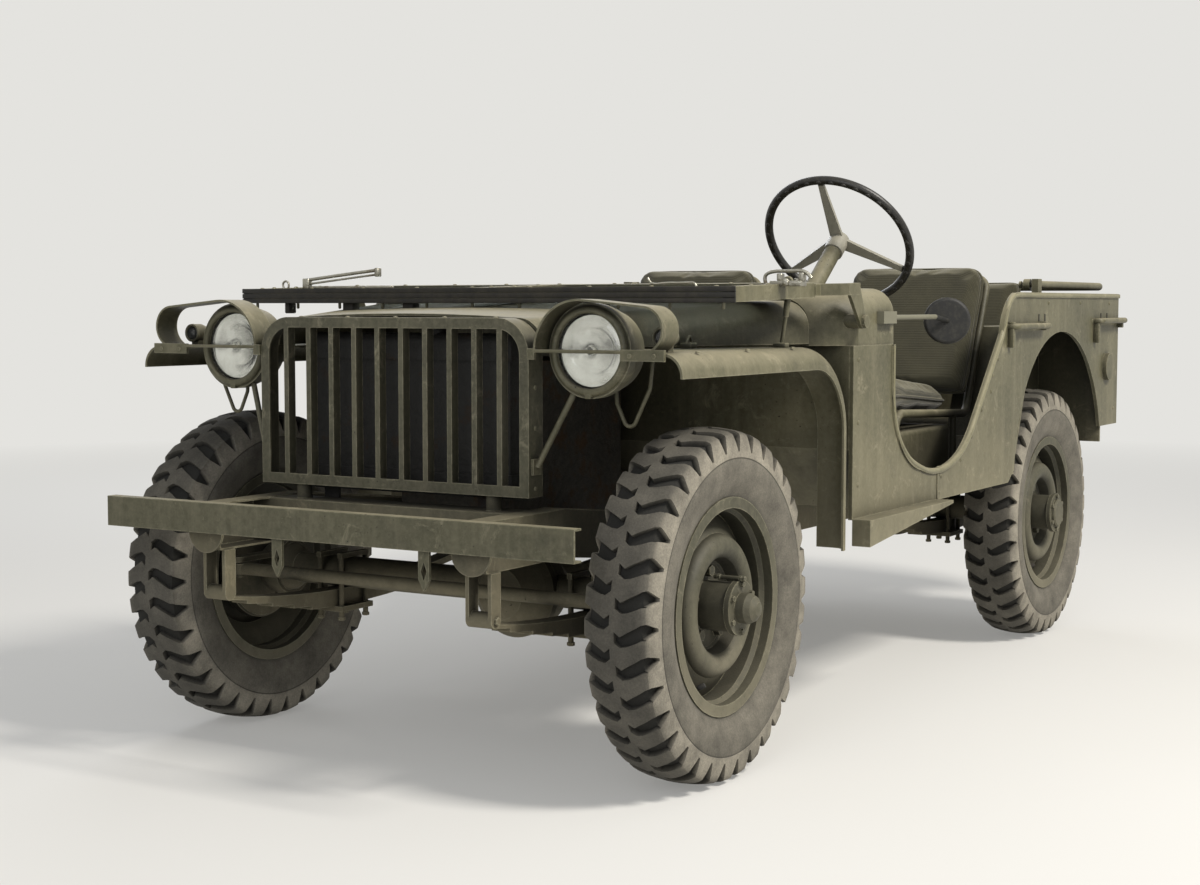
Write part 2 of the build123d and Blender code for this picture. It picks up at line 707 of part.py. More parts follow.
# Columns: distance behind the front axle, half-width, top
cowl_stations = [(cowl_front, hood_back_half_width, hood_back_z + 4), (515.0, 648.0, 984.0),
                 (cowl_full, cowl_half_width, 992.0), (cowl_back, cowl_half_width, cowl_rear_top)]
with BuildPart() as cowl:
    for rows in (cowl_stations[:3], cowl_stations[2:]):
        for distance, half_width, top in rows:
            with BuildSketch(front_plane(back(distance))):
                add(hood_section(half_width, top, hood_crown, hood_corner, 0, cowl_low_z))
        loft()
    hollow_front = (cowl_front + body_wall, hood_back_half_width, hood_back_z + 4)
    for rows in ((hollow_front, cowl_stations[2]), cowl_stations[2:]):
        for distance, half_width, top in rows:
            with BuildSketch(front_plane(back(distance))):
                add(hood_section(half_width, top, hood_crown, hood_corner - body_wall, body_wall, cowl_low_z - 20))
        loft(mode=Mode.SUBTRACT)
    with BuildSketch(front_plane(back(dash_back) + dash_sheet)):
        add(hood_section(cowl_half_width, cowl_rear_top, hood_crown, hood_corner - body_wall, body_wall, cowl_low_z + 14))
    extrude(amount=dash_sheet)
    for side in (-1, 1):
        with BuildSketch(side_plane(side * (cowl_half_width - 40))):
            with Locations((back(windshield_pivot_back), windshield_pivot_z)):
                Circle(pivot_boss_radius)
        extrude(amount=side * (arm_inner_x - running_gap - cowl_half_width + 40))
        with BuildSketch(side_plane(side * (arm_inner_x - 2))):
            with Locations((back(windshield_pivot_back), windshield_pivot_z)):
                Circle(pivot_pin_radius)
        extrude(amount=side * (arm_sheet + 4))
        with BuildSketch(side_plane(side * (arm_inner_x + arm_sheet + running_gap))):
            with Locations((back(windshield_pivot_back), windshield_pivot_z)):
                Circle(pivot_boss_radius - 2)
        extrude(amount=side * 8)
keep(cowl, "cowl")


# Front fenders: a rolled sheet that runs level over the wheel and bends down behind it
def fender_outline(inset, extra):
    """Side view of the fender, this far inside its outer face; extra runs it on past its open ends."""
    top, rear = fender_top_z - inset, fender_back - inset
    corner = fender_corner - inset
    with BuildSketch() as outline:
        with BuildLine():
            Line((back(fender_front) - extra, fender_low_z - extra), (back(fender_front) - extra, top))
            Line((back(fender_front) - extra, top), (back(rear - corner), top))
            RadiusArc((back(rear - corner), top), (back(rear), top - corner), corner)
            Line((back(rear), top - corner), (back(rear), fender_low_z - extra))
            Line((back(rear), fender_low_z - extra), (back(fender_front) - extra, fender_low_z - extra))
        make_face()
    return outline.sketch


hood_spread = (hood_back_half_width - hood_front_half_width) / (cowl_front - hood_front)
fender_inner_front = hood_front_half_width + hood_spread * (fender_front - hood_front) - 12
fender_inner_back = hood_front_half_width + hood_spread * (fender_back - hood_front) - 12
with BuildPart() as fender_left:
    with BuildSketch(side_plane(fender_inner_front)):
        add(fender_outline(0, 0))
    extrude(amount=body_half_width - fender_inner_front)
    outer_edges = fender_left.faces().sort_by(Axis.X)[-1].edges()
    keep_square = outer_edges.filter_by(Axis.Z).sort_by(Axis.Y)[0:1] + outer_edges.filter_by(Axis.Y).sort_by(Axis.Z)[0:1]
    fillet([edge for edge in outer_edges if edge not in keep_square], fender_roll)
    with BuildPart(mode=Mode.PRIVATE) as inside:
        with BuildSketch(side_plane(fender_inner_front - 50)):
            add(fender_outline(fender_sheet, 60))
        extrude(amount=body_half_width - fender_sheet - fender_inner_front + 50)
        inner_edges = inside.faces().sort_by(Axis.X)[-1].edges()
        square = inner_edges.filter_by(Axis.Z).sort_by(Axis.Y)[0:1] + inner_edges.filter_by(Axis.Y).sort_by(Axis.Z)[0:1]
        fillet([edge for edge in inner_edges if edge not in square], fender_roll - fender_sheet)
        with BuildSketch(side_plane(body_half_width - 30)):
            add(fender_outline(fender_roll + 3, 60))
        extrude(amount=60)
    add(inside.part, mode=Mode.SUBTRACT)
    with BuildPart(mode=Mode.PRIVATE) as hood_side:
        with BuildSketch(Plane.XY.offset(fender_low_z - 30)):
            with BuildLine():
                Polyline((fender_inner_front - 60, back(fender_front) - 10),
                         (grille_half_width + 1, back(fender_front) - 10), (grille_half_width + 1, back(hood_front)),
                         (fender_inner_front + 12, back(hood_front)), (fender_inner_back, back(fender_back) + 10),
                         (fender_inner_front - 60, back(fender_back) + 10), close=True)
            make_face()
        extrude(amount=fender_top_z - fender_low_z + 60)
    add(hood_side.part, mode=Mode.SUBTRACT)
    with BuildSketch(front_plane(back(fender_front) - 10)):
        with Locations((lamp_x, lamp_z)):
            Circle(lamp_cutout_radius)
        with Locations((lamp_x - lamp_cutout_radius, lamp_z)):
            Rectangle(2 * lamp_cutout_radius, 2 * lamp_cutout_radius)
    extrude(amount=-(lamp_rear - fender_front + 20), mode=Mode.SUBTRACT)
keep(fender_left, "fender_left")
with BuildPart() as fender_right:
    mirror(fender_left.part, about=Plane.YZ)
keep(fender_right, "fender_right")

# Body sides with the door cut-outs, rear wheel arches and the boxed steps below the doors
step_back = 1050.0
step_reach = 44.0
inner_half = body_half_width - body_wall
bead_width = 12.0
bead_reach = 4.5
handle_radius = 8.5
handle_reach = 24.0
# Columns: first y behind the front axle, last y, height
handle_rows = [(1560.0, 1840.0, 905.0), (2340.0, 2600.0, 915.0)]
reflector_back, reflector_z, reflector_radius = 2474.0, 772.0, 42.0
with BuildPart() as side_left:
    with BuildSketch(side_plane(inner_half)):
        with BuildLine():
            Polyline(*side_outline([(fender_back, fender_top_z), (fender_back, sill_z), (1576, sill_z), (1618, 512)]))
            arch_start = sqrt(arch_radius ** 2 - (512 - arch_centre_z) ** 2)
            arch_end = sqrt(arch_radius ** 2 - (body_rear_low - arch_centre_z) ** 2)
            Line((back(1618), 512), (back(arch_centre_back - arch_start), 512))
            ThreePointArc((back(arch_centre_back - arch_start), 512), (back(arch_centre_back), arch_centre_z + arch_radius),
                          (back(arch_centre_back + arch_end), body_rear_low))
            Polyline(*side_outline([(arch_centre_back + arch_end, body_rear_low), (body_rear, body_rear_low),
                                    (body_rear, rail_top_z), (1615, rail_top_z)]))
            ThreePointArc((back(1615), rail_top_z), (back(1553), 955), (back(1515), 884))
            Line((back(1515), 884), (back(1311), 668))
            ThreePointArc((back(1311), 668), (back(1255), 617), (back(1180), 577))
            ThreePointArc((back(1180), 577), (back(1050), 555), (back(930), 572))
            ThreePointArc((back(930), 572), (back(812), 632), (back(757), 750))
            Line((back(757), 750), (back(757), fender_top_z))
            Line((back(757), fender_top_z), (back(fender_back), fender_top_z))
        make_face()
    extrude(amount=body_wall)
    with BuildSketch(side_plane(body_half_width)):
        with BuildLine():
            Polyline(*side_outline([(fender_back, sill_z + 2), (fender_back, 425), (step_back, sill_z - 5),
                                    (step_back, sill_z + 2)]), close=True)
        make_face()
    extrude(amount=step_reach)
    chamfer(side_left.edges().filter_by(Axis.Z).sort_by(Axis.X)[-2:].sort_by(Axis.Y)[-1], 3)
    with BuildSketch(side_plane(inner_half)):
        with BuildLine() as edge_line:
            Line((back(757), fender_top_z - 1), (back(757), 750))
            ThreePointArc((back(757), 750), (back(812), 632), (back(930), 572))
            ThreePointArc((back(930), 572), (back(1050), 555), (back(1180), 577))
            ThreePointArc((back(1180), 577), (back(1255), 617), (back(1311), 668))
            Line((back(1311), 668), (back(1515), 884))
            ThreePointArc((back(1515), 884), (back(1553), 955), (back(1615), rail_top_z))
            Line((back(1615), rail_top_z), (back(body_rear), rail_top_z))
        trace(line_width=bead_width)
        with Locations([edge @ 1 for edge in edge_line.edges()[:-1]]):
            Circle(bead_width / 2)
    extrude(amount=body_wall + bead_reach)
    for first, last, height in handle_rows:
        grip_x = body_half_width + handle_reach
        add(tube([(body_half_width - 1, back(first), height), (grip_x, back(first), height),
                  (grip_x, back(last), height), (body_half_width - 1, back(last), height)], handle_radius, bend=15))
    with BuildSketch(side_plane(body_half_width)):
        with Locations((back(reflector_back), reflector_z)):
            Circle(reflector_radius)
    extrude(amount=14)
keep(side_left, "side_left")
with BuildPart() as side_right:
    mirror(side_left.part, about=Plane.YZ)
keep(side_right, "side_right")

# Floor: firewall, sloping toe board, flat floor and the raised rear floor, in one folded sheet
wheelhouse_inner_x = 470.0
wheelhouse_wall = 8.0
wheelhouse_line = [(1630, 500), (1800, 902), (2460, 902), (2460, 540)]
# Columns: lower corner then upper corner of each fold, as distance behind the front axle and height
floor_folds = [(531, 872, 541, 872), (531, 640, 541, 644), (650, 497, 654, 507), (1555, 497, 1549, 507),
               (1650, 590, 1644, 600), (2590, 590, 2590, 600)]
foot_pad_height = 3.0
foot_pad_radius = 18.0
front_foot_z = floor_z + foot_pad_height
rear_foot_z = rear_floor_z + foot_pad_height
# Columns: x of the seat, half the distance between its side tubes, the side tubes' corners, rear leg
seat_rows = [(seat_x, 188.0, [(1120, front_foot_z), (1120, 687.6), (1625, 664.9), (1790, 1040)], 1530),
             (-seat_x, 188.0, [(1120, front_foot_z), (1120, 687.6), (1625, 664.9), (1790, 1040)], 1530),
             (0.0, 418.0, [(1985, rear_foot_z), (1985, 778), (2400, 766.8), (2478.6, 1000)], 2300)]
column_radius_hole = column_radius + 6
steering_normal = (0, cos(radians(steering_tilt)), sin(radians(steering_tilt)))
steering_plane = Plane(origin=(steering_x, back(steering_back), steering_z), x_dir=(1, 0, 0), z_dir=steering_normal)
with BuildPart() as floor:
    with BuildSketch(side_plane(-inner_half)):
        with BuildLine():
            under = [(low_d, low_z) for low_d, low_z, high_d, high_z in floor_folds]
            above = [(high_d, high_z) for low_d, low_z, high_d, high_z in reversed(floor_folds)]
            Polyline(*side_outline(under + above), close=True)
        make_face()
    extrude(amount=2 * inner_half)
    for x in (wheelhouse_inner_x, -inner_half - 5):
        with BuildSketch(side_plane(x)):
            with BuildLine():
                Polyline(*side_outline(wheelhouse_line), close=True)
            make_face()
        extrude(amount=inner_half - wheelhouse_inner_x + 5, mode=Mode.SUBTRACT)
    with BuildSketch(steering_plane.offset(-600)):
        Circle(column_radius_hole)
    extrude(amount=-400, mode=Mode.SUBTRACT)
    for x, reach, corners, leg in seat_rows:
        with BuildSketch(Plane.XY.offset(corners[0][1])):
            for foot_back in (corners[0][0], leg):
                with Locations((x - reach, back(foot_back)), (x + reach, back(foot_back))):
                    Circle(foot_pad_radius)
        extrude(amount=-foot_pad_height - 2)
keep(floor, "floor")

# Wheel housings over the rear wheels: slanted front wall, flat top, open below and outboard
with BuildPart() as wheelhouses:
    for side in (-1, 1):
        for x, shrink, mode in ((wheelhouse_inner_x, 0, Mode.ADD),
                                (wheelhouse_inner_x + wheelhouse_wall, wheelhouse_wall, Mode.SUBTRACT)):
            with BuildSketch(side_plane(side * x)):
                with BuildLine():
                    Polyline(*side_outline(wheelhouse_line), close=True)
                make_face()
                if shrink:
                    offset(amount=-shrink, kind=Kind.INTERSECTION)
                    with BuildLine():
                        Polyline(*side_outline([(1642, 509), (1800, 400), (2452, 400), (2452, 560)]), close=True)
                    make_face()
            extrude(amount=side * (inner_half - x + (5 if shrink else 0)), mode=mode)
keep(wheelhouses, "wheelhouses")

# Rear panel and the empty carrier for a spare wheel, with its five studs
carrier_x, carrier_z = -150.0, 800.0
carrier_face = 2640.0
tail_lamp_x, tail_lamp_z = 560.0, 700.0
tail_lamp_radius = 30.0
with BuildPart() as rear_panel:
    box_between((-inner_half, back(body_rear - body_wall), body_rear_low), (inner_half, back(body_rear), rail_top_z))
    with BuildSketch(front_plane(back(body_rear))):
        with Locations((-tail_lamp_x, tail_lamp_z), (tail_lamp_x, tail_lamp_z)):
            Circle(tail_lamp_radius)
    extrude(amount=-35)
keep(rear_panel, "rear_panel")
with BuildPart() as spare_carrier:
    with BuildSketch(front_plane(back(body_rear))):
        with Locations((carrier_x, carrier_z)):
            RectangleRounded(190, 260, 25)
    extrude(amount=-6)
    with BuildSketch(front_plane(back(body_rear))):
        with Locations((carrier_x, carrier_z)):
            Circle(70)
    extrude(amount=-(carrier_face - body_rear - 8))
    with BuildSketch(front_plane(back(carrier_face - 8))):
        with Locations((carrier_x, carrier_z)):
            Circle(92)
    extrude(amount=-8)
    with BuildSketch(front_plane(back(carrier_face))):
        with Locations((carrier_x, carrier_z)):
            with PolarLocations(stud_circle_radius, 5, start_angle=90):
                Circle(stud_radius)
    extrude(amount=-30)
keep(spare_carrier, "spare_carrier")

# Rear bumperettes on the frame's ends and the towing hook between them
bumperette_line = [(2560, 505), (2605, 505), (2605, 470), (2640, 485), (2640, 605), (2605, 620), (2605, 575), (2560, 575)]
hook_reach = 2652.0
hook_z = 540.0
with BuildPart() as rear_fittings:
    for x in (-rail_x, rail_x):
        with BuildSketch(side_plane(x - 45)):
            with BuildLine():
                Polyline(*side_outline(bumperette_line), close=True)
            make_face()
        extrude(amount=90)
    box_between((-55, back(rear_beam_back), rear_beam_low), (55, back(rear_beam_back + 12), rear_beam_high))
    with BuildSketch(front_plane(back(rear_beam_back + 12))):
        with Locations((0, hook_z)):
            Circle(24)
    extrude(amount=-(hook_reach - rear_beam_back - 45))
    with BuildSketch(side_plane(-18)):
        with Locations((back(hook_reach), hook_z)):
            Circle(38)
            Circle(18, mode=Mode.SUBTRACT)
    extrude(amount=36)
keep(rear_fittings, "rear_fittings")

# Fuel tank under the driver's seat, with its filler
tank_front, tank_back = 1140.0, 1520.0
tank_top = 640.0
with BuildPart() as fuel_tank:
    box_between((seat_x - 190, back(tank_front), floor_z), (seat_x + 190, back(tank_back), tank_top))
    fillet(fuel_tank.edges().filter_by(Axis.Z), 30)
    fillet(fuel_tank.faces().sort_by(Axis.Z)[-1].edges(), 12)
    with BuildSketch(Plane.XY.offset(tank_top)):
        with Locations((seat_x + 130, back(tank_front) + 60)):
            Circle(34)
    extrude(amount=24)
keep(fuel_tank, "fuel_tank")


# Seats: tube frames that stand on the floor, and separate cushions and backs
corner_round = 50.0


def pad(outline, half_width, x, round_off):
    """A padded block with this side outline about this x, rounded most at its two rearmost corners."""
    with BuildPart() as block:
        with BuildSketch(side_plane(x - half_width)):
            with BuildLine():
                Polyline(*side_outline(outline), close=True)
            make_face()
        extrude(amount=2 * half_width)
        side_edges = [edge for edge in block.edges() if abs(edge.center().X - x) > half_width - 1]
        corners = ShapeList(side_edges).sort_by(Axis.Y)[-2:]
        fillet(corners, corner_round)
        fillet([edge for edge in block.edges() if edge not in corners], round_off)
    return block.part


cushion_line = [(1095, 699), (1540, 679), (1540, 726), (1095, 775)]
backrest_line = [(1565, 730), (1629.9, 701.6), (1784.9, 1054.6), (1720, 1083)]
rear_cushion_line = [(1960, 789), (2330, 779), (2330, 850), (1960, 870)]
rear_backrest_line = [(2336, 855), (2412, 838), (2476, 1028), (2400, 1045)]
rear_seat_half_width = 430.0
# Columns: label, side outline, half-width, x
pads = [("cushion_left", cushion_line, seat_half_width, seat_x), ("cushion_right", cushion_line, seat_half_width, -seat_x),
        ("cushion_rear", rear_cushion_line, rear_seat_half_width, 0),
        ("backrest_left", backrest_line, seat_half_width, seat_x),
        ("backrest_right", backrest_line, seat_half_width, -seat_x),
        ("backrest_rear", rear_backrest_line, rear_seat_half_width, 0)]
for label, outline, half_width, x in pads:
    with BuildPart() as seat_pad:
        add(pad(outline, half_width, x, 20))
    keep(seat_pad, label)

with BuildPart() as seat_frames:
    for x, reach, corners, leg in seat_rows:
        there = [(x - reach, back(distance), height) for distance, height in corners]
        return_way = [(x + reach, back(distance), height) for distance, height in reversed(corners)]
        add(tube(there + return_way, seat_tube, bend=40))
        under_front, under_rear = corners[1], corners[2]
        slope = (under_rear[1] - under_front[1]) / (under_rear[0] - under_front[0])
        leg_top = under_front[1] + slope * (leg - under_front[0])
        for leg_x in (x - reach, x + reach):
            with BuildSketch(Plane.XY.offset(corners[0][1])):
                with Locations((leg_x, back(leg))):
                    Circle(seat_tube - 1.5)
            extrude(amount=leg_top - corners[0][1])
        for place in (under_front[0] + 70, leg - 30):
            height = under_front[1] + slope * (place - under_front[0])
            add(tube([(x - reach, back(place), height), (x + reach, back(place), height)], seat_tube - 2))
keep(seat_frames, "seat_frames")

# Steering wheel with three spokes, and its column down to the steering box on the left rail
steering_hub_radius = 26.0
steering_hub_length = 46.0
# Columns: distance from the wheel's axis, half-width of a spoke
spoke_ends = [(18, 17), (steering_rim_radius - 2, 7)]
with BuildPart(steering_plane) as steering_wheel:
    Torus(steering_rim_radius, steering_grip)
    with BuildSketch(steering_plane.offset(-steering_hub_length)):
        Circle(steering_hub_radius)
    extrude(amount=steering_hub_length + 10)
    with BuildSketch(steering_plane.offset(-4)):
        with PolarLocations(0, 3, start_angle=-90):
            Polygon(*spoke_ends, *[(reach, -half) for reach, half in reversed(spoke_ends)], align=None)
    extrude(amount=8)
keep(steering_wheel, "steering_wheel")
steering_box_back = 440.0
column_length = (steering_back - steering_box_back + 12) / steering_normal[1]
with BuildPart() as steering_column:
    with BuildSketch(steering_plane.offset(-steering_hub_length - 1)):
        Circle(column_radius)
    extrude(amount=-(column_length - steering_hub_length - 1))
    box_between((steering_x - 30, back(352), 497), (steering_x + 30, back(steering_box_back), 575))
keep(steering_column, "steering_column")

# Floor levers: gear lever with its boot, two transfer levers, hand brake
# Columns: x, boot radius, boot top, lever top's distance behind the front axle, its height, bar radius, knob radius
levers = [(40.0, 55.0, 560.0, 1000.0, 830.0, 8.0, 22.0), (-45.0, 26.0, 525.0, 985.0, 700.0, 6.0, 14.0),
          (-95.0, 26.0, 525.0, 990.0, 690.0, 6.0, 14.0)]
lever_back = 940.0
# Columns: x, half-width, half-height of each pedal's pad
pedals = [(285.0, 29.0, 33.0), (425.0, 29.0, 33.0), (500.0, 18.0, 44.0)]
pedal_foot = (600.0, 572.5)
pedal_length = 95.0
toe_board_normal = (0.771, 0.636)
with BuildPart() as controls:
    for x, boot_radius, boot_top, top_back, top_z, bar_radius, knob_radius in levers:
        with Locations((x, back(lever_back), (floor_z + boot_top) / 2)):
            Cone(boot_radius, boot_radius * 0.4, boot_top - floor_z)
        add(tube([(x, back(lever_back), boot_top - 10), (x, back(top_back), top_z)], bar_radius))
        with Locations((x, back(top_back), top_z)):
            Sphere(knob_radius)
    for x, half_width, half_height in pedals:
        foot_plane = Plane(origin=(x, back(pedal_foot[0]), pedal_foot[1]), x_dir=(1, 0, 0), z_dir=(0, *toe_board_normal))
        with BuildSketch(foot_plane.offset(running_gap)):
            Circle(7)
        extrude(amount=pedal_length)
        with BuildSketch(foot_plane.offset(pedal_length)):
            RectangleRounded(2 * half_width, 2 * half_height, 8)
        extrude(amount=8)
keep(controls, "controls")

# Windshield, folded flat over the hood: its plane starts at the hinge, x across, y to the rear, z upwards
fold = radians(windshield_slope)
windshield_plane = Plane(origin=(0, back(windshield_pivot_back), windshield_pivot_z), x_dir=(1, 0, 0),
                         z_dir=(0, -sin(fold), cos(fold)))
window_inner, window_outer = 22.0, windshield_half_width - 31
window_top, window_bottom = windshield_top - 26, windshield_bottom + 73
# Columns: distance from the middle, distance from the hinge
arm_line = [(windshield_half_width - 28, -140), (windshield_half_width, -140), (windshield_half_width, -115),
            (arm_inner_x + 9, -78), (arm_inner_x + 9, -20), (arm_inner_x - 5, -20), (arm_inner_x - 5, -66),
            (windshield_half_width - 28, -112)]
arm_low, arm_high = 60.0, 86.0
with BuildPart() as windshield_frame:
    with BuildSketch(windshield_plane.offset(windshield_low)):
        with Locations((0, -(windshield_top + windshield_bottom) / 2)):
            RectangleRounded(2 * windshield_half_width, windshield_top - windshield_bottom, 40)
        for side in (-1, 1):
            with Locations((side * (window_inner + window_outer) / 2, -(window_top + window_bottom) / 2)):
                RectangleRounded(window_outer - window_inner, window_top - window_bottom, 25, mode=Mode.SUBTRACT)
    extrude(amount=windshield_thickness)
    with BuildSketch(windshield_plane.offset(arm_low)):
        for side in (-1, 1):
            with BuildLine():
                Polyline(*[(side * x, v) for x, v in arm_line], close=True)
            make_face()
    extrude(amount=arm_high - arm_low)
    for side in (-1, 1):
        strap_side = Plane(origin=(side * arm_inner_x, back(windshield_pivot_back), windshield_pivot_z),
                           x_dir=(0, cos(fold), sin(fold)), z_dir=(1, 0, 0))
        with BuildSketch(strap_side):
            Circle(pivot_boss_radius)
            with Locations((-46, (arm_low + arm_high) / 2)):
                Rectangle(48, arm_high - arm_low)
            make_hull()
            Circle(pivot_pin_radius + running_gap, mode=Mode.SUBTRACT)
        extrude(amount=side * arm_sheet)
keep(windshield_frame, "windshield_frame")
with BuildPart() as windshield_glass:
    with BuildSketch(windshield_plane.offset(windshield_low + 14)):
        for side in (-1, 1):
            with Locations((side * (window_inner + window_outer) / 2, -(window_top + window_bottom) / 2)):
                RectangleRounded(window_outer - window_inner, window_top - window_bottom, 25)
    extrude(amount=pane_thickness)
keep(windshield_glass, "windshield_glass")

# Top bow: one bent tube, hinged on the body sides above the top rail
bow_bend = 60.0
bow_eye_radius = 16.0
bow_rest_back = bow_pivot_back + 85
with BuildPart() as top_bow:
    add(tube([(-bow_x, back(bow_pivot_back), bow_z), (-bow_x, back(bow_cross_back), bow_z),
              (bow_x, back(bow_cross_back), bow_z), (bow_x, back(bow_pivot_back), bow_z)], bow_radius, bend=bow_bend))
    for side in (-1, 1):
        with BuildSketch(side_plane(side * (bow_x - 9))):
            with Locations((back(bow_pivot_back), bow_z)):
                Circle(bow_eye_radius)
        extrude(amount=side * 18)
        with BuildSketch(side_plane(side * (bow_x - 12))):
            with Locations((back(bow_pivot_back), bow_z)):
                Circle(pivot_pin_radius + running_gap)
        extrude(amount=side * 24, mode=Mode.SUBTRACT)
keep(top_bow, "top_bow")
with BuildPart() as bow_brackets:
    for side in (-1, 1):
        near, far = sorted((side * (bow_x + 17), side * inner_half))
        box_between((near, back(bow_pivot_back) - 15, rail_top_z - 40), (far, back(bow_pivot_back) + 15, bow_z + 16))
        with BuildSketch(side_plane(side * (bow_x + 19))):
            with Locations((back(bow_pivot_back), bow_z)):
                Circle(pivot_pin_radius)
        extrude(amount=-side * 42)
        with BuildSketch(side_plane(side * (bow_x - 17))):
            with Locations((back(bow_pivot_back), bow_z)):
                Circle(pivot_pin_radius + 4)
        extrude(amount=-side * 6)
        near, far = sorted((side * (bow_x - 12), side * inner_half))
        box_between((near, back(bow_rest_back - 10), rail_top_z - 15), (far, back(bow_rest_back + 10), rail_top_z - 7))
        with BuildSketch(Plane.XY.offset(rail_top_z - 10)):
            with Locations((side * bow_x, back(bow_rest_back))):
                Circle(8)
        extrude(amount=bow_z - bow_radius - 6 - rail_top_z + 10)
keep(bow_brackets, "bow_brackets")

# Driver's mirror: a clamp on the cowl, a bent arm and the round head
mirror_centre = (body_half_width + 16, back(1060), 924.0)
mirror_arm_x = body_half_width + 8
mirror_radius = 57.0
mirror_turn = radians(24.3)
mirror_plane = Plane(origin=mirror_centre, x_dir=(cos(mirror_turn), sin(mirror_turn), 0),
                     z_dir=(-sin(mirror_turn), cos(mirror_turn), 0))
with BuildPart() as mirror_head:
    with BuildSketch(mirror_plane.offset(-10)):
        Circle(mirror_radius)
    extrude(amount=14)
    fillet(mirror_head.edges().filter_by(GeomType.CIRCLE).sort_by(Axis.Y)[0], 8)
    box_between((cowl_half_width, back(668), 920), (mirror_arm_x + 6, back(744), 948))
    add(tube([(mirror_arm_x, back(730), 934), (mirror_arm_x, back(1000), 934),
              (mirror_centre[0] + 4, back(1053), mirror_centre[2])], 6, bend=20))
keep(mirror_head, "mirror")

# Headlamps in the fender fronts: bowl, bulging lens, and the small marker lamps beside them
marker_back = -175.0
bowl_line = [(0, lamp_rear), (30, lamp_rear), (60, -112), (80, -140), (90, -180), (lamp_shell_radius, -192),
             (lamp_shell_radius, lamp_back - 5), (lamp_lens_radius, lamp_back - 5), (lamp_lens_radius, -198), (0, -198)]
lens_line = [(0, -198), (lamp_lens_radius, -198), (lamp_lens_radius, lamp_back), (60, -217), (35, -223), (0, -225)]
# Columns: distance from the car's middle, height; the wiring's tube hangs from the bowl and rises to the fender
conduit_line = [(478, 800), (480, 770), (510, 706), (555, 800), (562, fender_top_z - fender_sheet - 1)]
conduit_back = -150.0
marker_body = [(0, 30), (14, 28), (marker_radius, 8), (marker_radius, -14), (0, -14)]
marker_lens = [(0, -14), (marker_radius - 5, -14), (marker_radius - 9, -20), (0, -22)]


def turned(outline, x, distance, height):
    """A body turned about an axis along the car, from radii and distances behind the front axle."""
    with BuildPart() as body:
        with BuildSketch(Plane.XY.offset(height)):
            with BuildLine():
                Polyline(*[(x + radius, back(distance + along)) for radius, along in outline], close=True)
            make_face()
        revolve(axis=Axis((x, 0, height), (0, 1, 0)))
    return body.part


with BuildPart() as headlamps:
    for side in (-1, 1):
        add(turned(bowl_line, side * lamp_x, 0, lamp_z))
        add(turned(marker_body, side * marker_x, marker_back, marker_z))
        box_between((side * marker_x - 10, back(marker_back) - 8, fender_top_z),
                    (side * marker_x + 10, back(marker_back) + 12, marker_z))
        add(tube([(side * across, back(conduit_back), height) for across, height in conduit_line], 4, bend=14))
keep(headlamps, "headlamps")
with BuildPart() as lamp_lenses:
    for side in (-1, 1):
        add(turned(lens_line, side * lamp_x, 0, lamp_z))
        add(turned(marker_lens, side * marker_x, marker_back, marker_z))
keep(lamp_lenses, "lamp_lenses")

# Lamp guards: a wide strap over headlamp and marker, a thin bar in front, and a stay to the grille
strap_radius = 101.0
strap_sheet = 4.0
strap_front, strap_back = -262.0, -200.0
strap_end = (marker_x - 4, marker_z + 15)
strap_end_radius = 46.0
guard_front = -264.0
guard_low = fender_top_z - 16
stay_lean = radians(27.4)
stay_reach = lamp_shell_radius + 0.8


def strap_outline(side, inset):
    """Front view of the strap's hood over both lamps of one side, this far inside its outer face."""
    with BuildSketch() as outline:
        with Locations((side * lamp_x, lamp_z)):
            Circle(strap_radius - inset)
        with Locations((side * strap_end[0], strap_end[1])):
            Circle(strap_end_radius - inset)
        make_hull()
        with Locations((side * lamp_x, fender_top_z + running_gap - strap_radius)):
            Rectangle(6 * strap_radius, 2 * strap_radius, mode=Mode.SUBTRACT)
    return outline.sketch


with BuildPart() as lamp_guards:
    for side in (-1, 1):
        for inset, mode in ((0, Mode.ADD), (strap_sheet, Mode.SUBTRACT)):
            with BuildSketch(front_plane(back(strap_back))):
                add(strap_outline(side, inset))
            extrude(amount=strap_back - strap_front, mode=mode)
        # Columns: inner x, outer x of the two feet on the fender's front edge
        for inner, outer in ((grille_half_width, lamp_x - strap_radius + strap_sheet), (lamp_x + 97, 650)):
            near, far = sorted((side * inner, side * outer))
            box_between((near, back(guard_front), guard_low), (far, back(fender_front), lamp_z + 5))
        add(tube([(side * (lamp_x - 103), back(-261), lamp_z), (side * (lamp_x + 103), back(-261), lamp_z)], 3.5))
        near, far = sorted((side * grille_half_width, side * (grille_half_width + 6)))
        box_between((near, back(-250), 628), (far, back(-222), 660))
        add(tube([(side * (grille_half_width + 6), back(-236), 644),
                  (side * (lamp_x - stay_reach * sin(stay_lean)), back(-203), lamp_z - stay_reach * cos(stay_lean))], 6))
keep(lamp_guards, "lamp_guards")
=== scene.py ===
import bpy
import json
import math

from mathutils import Matrix, Vector


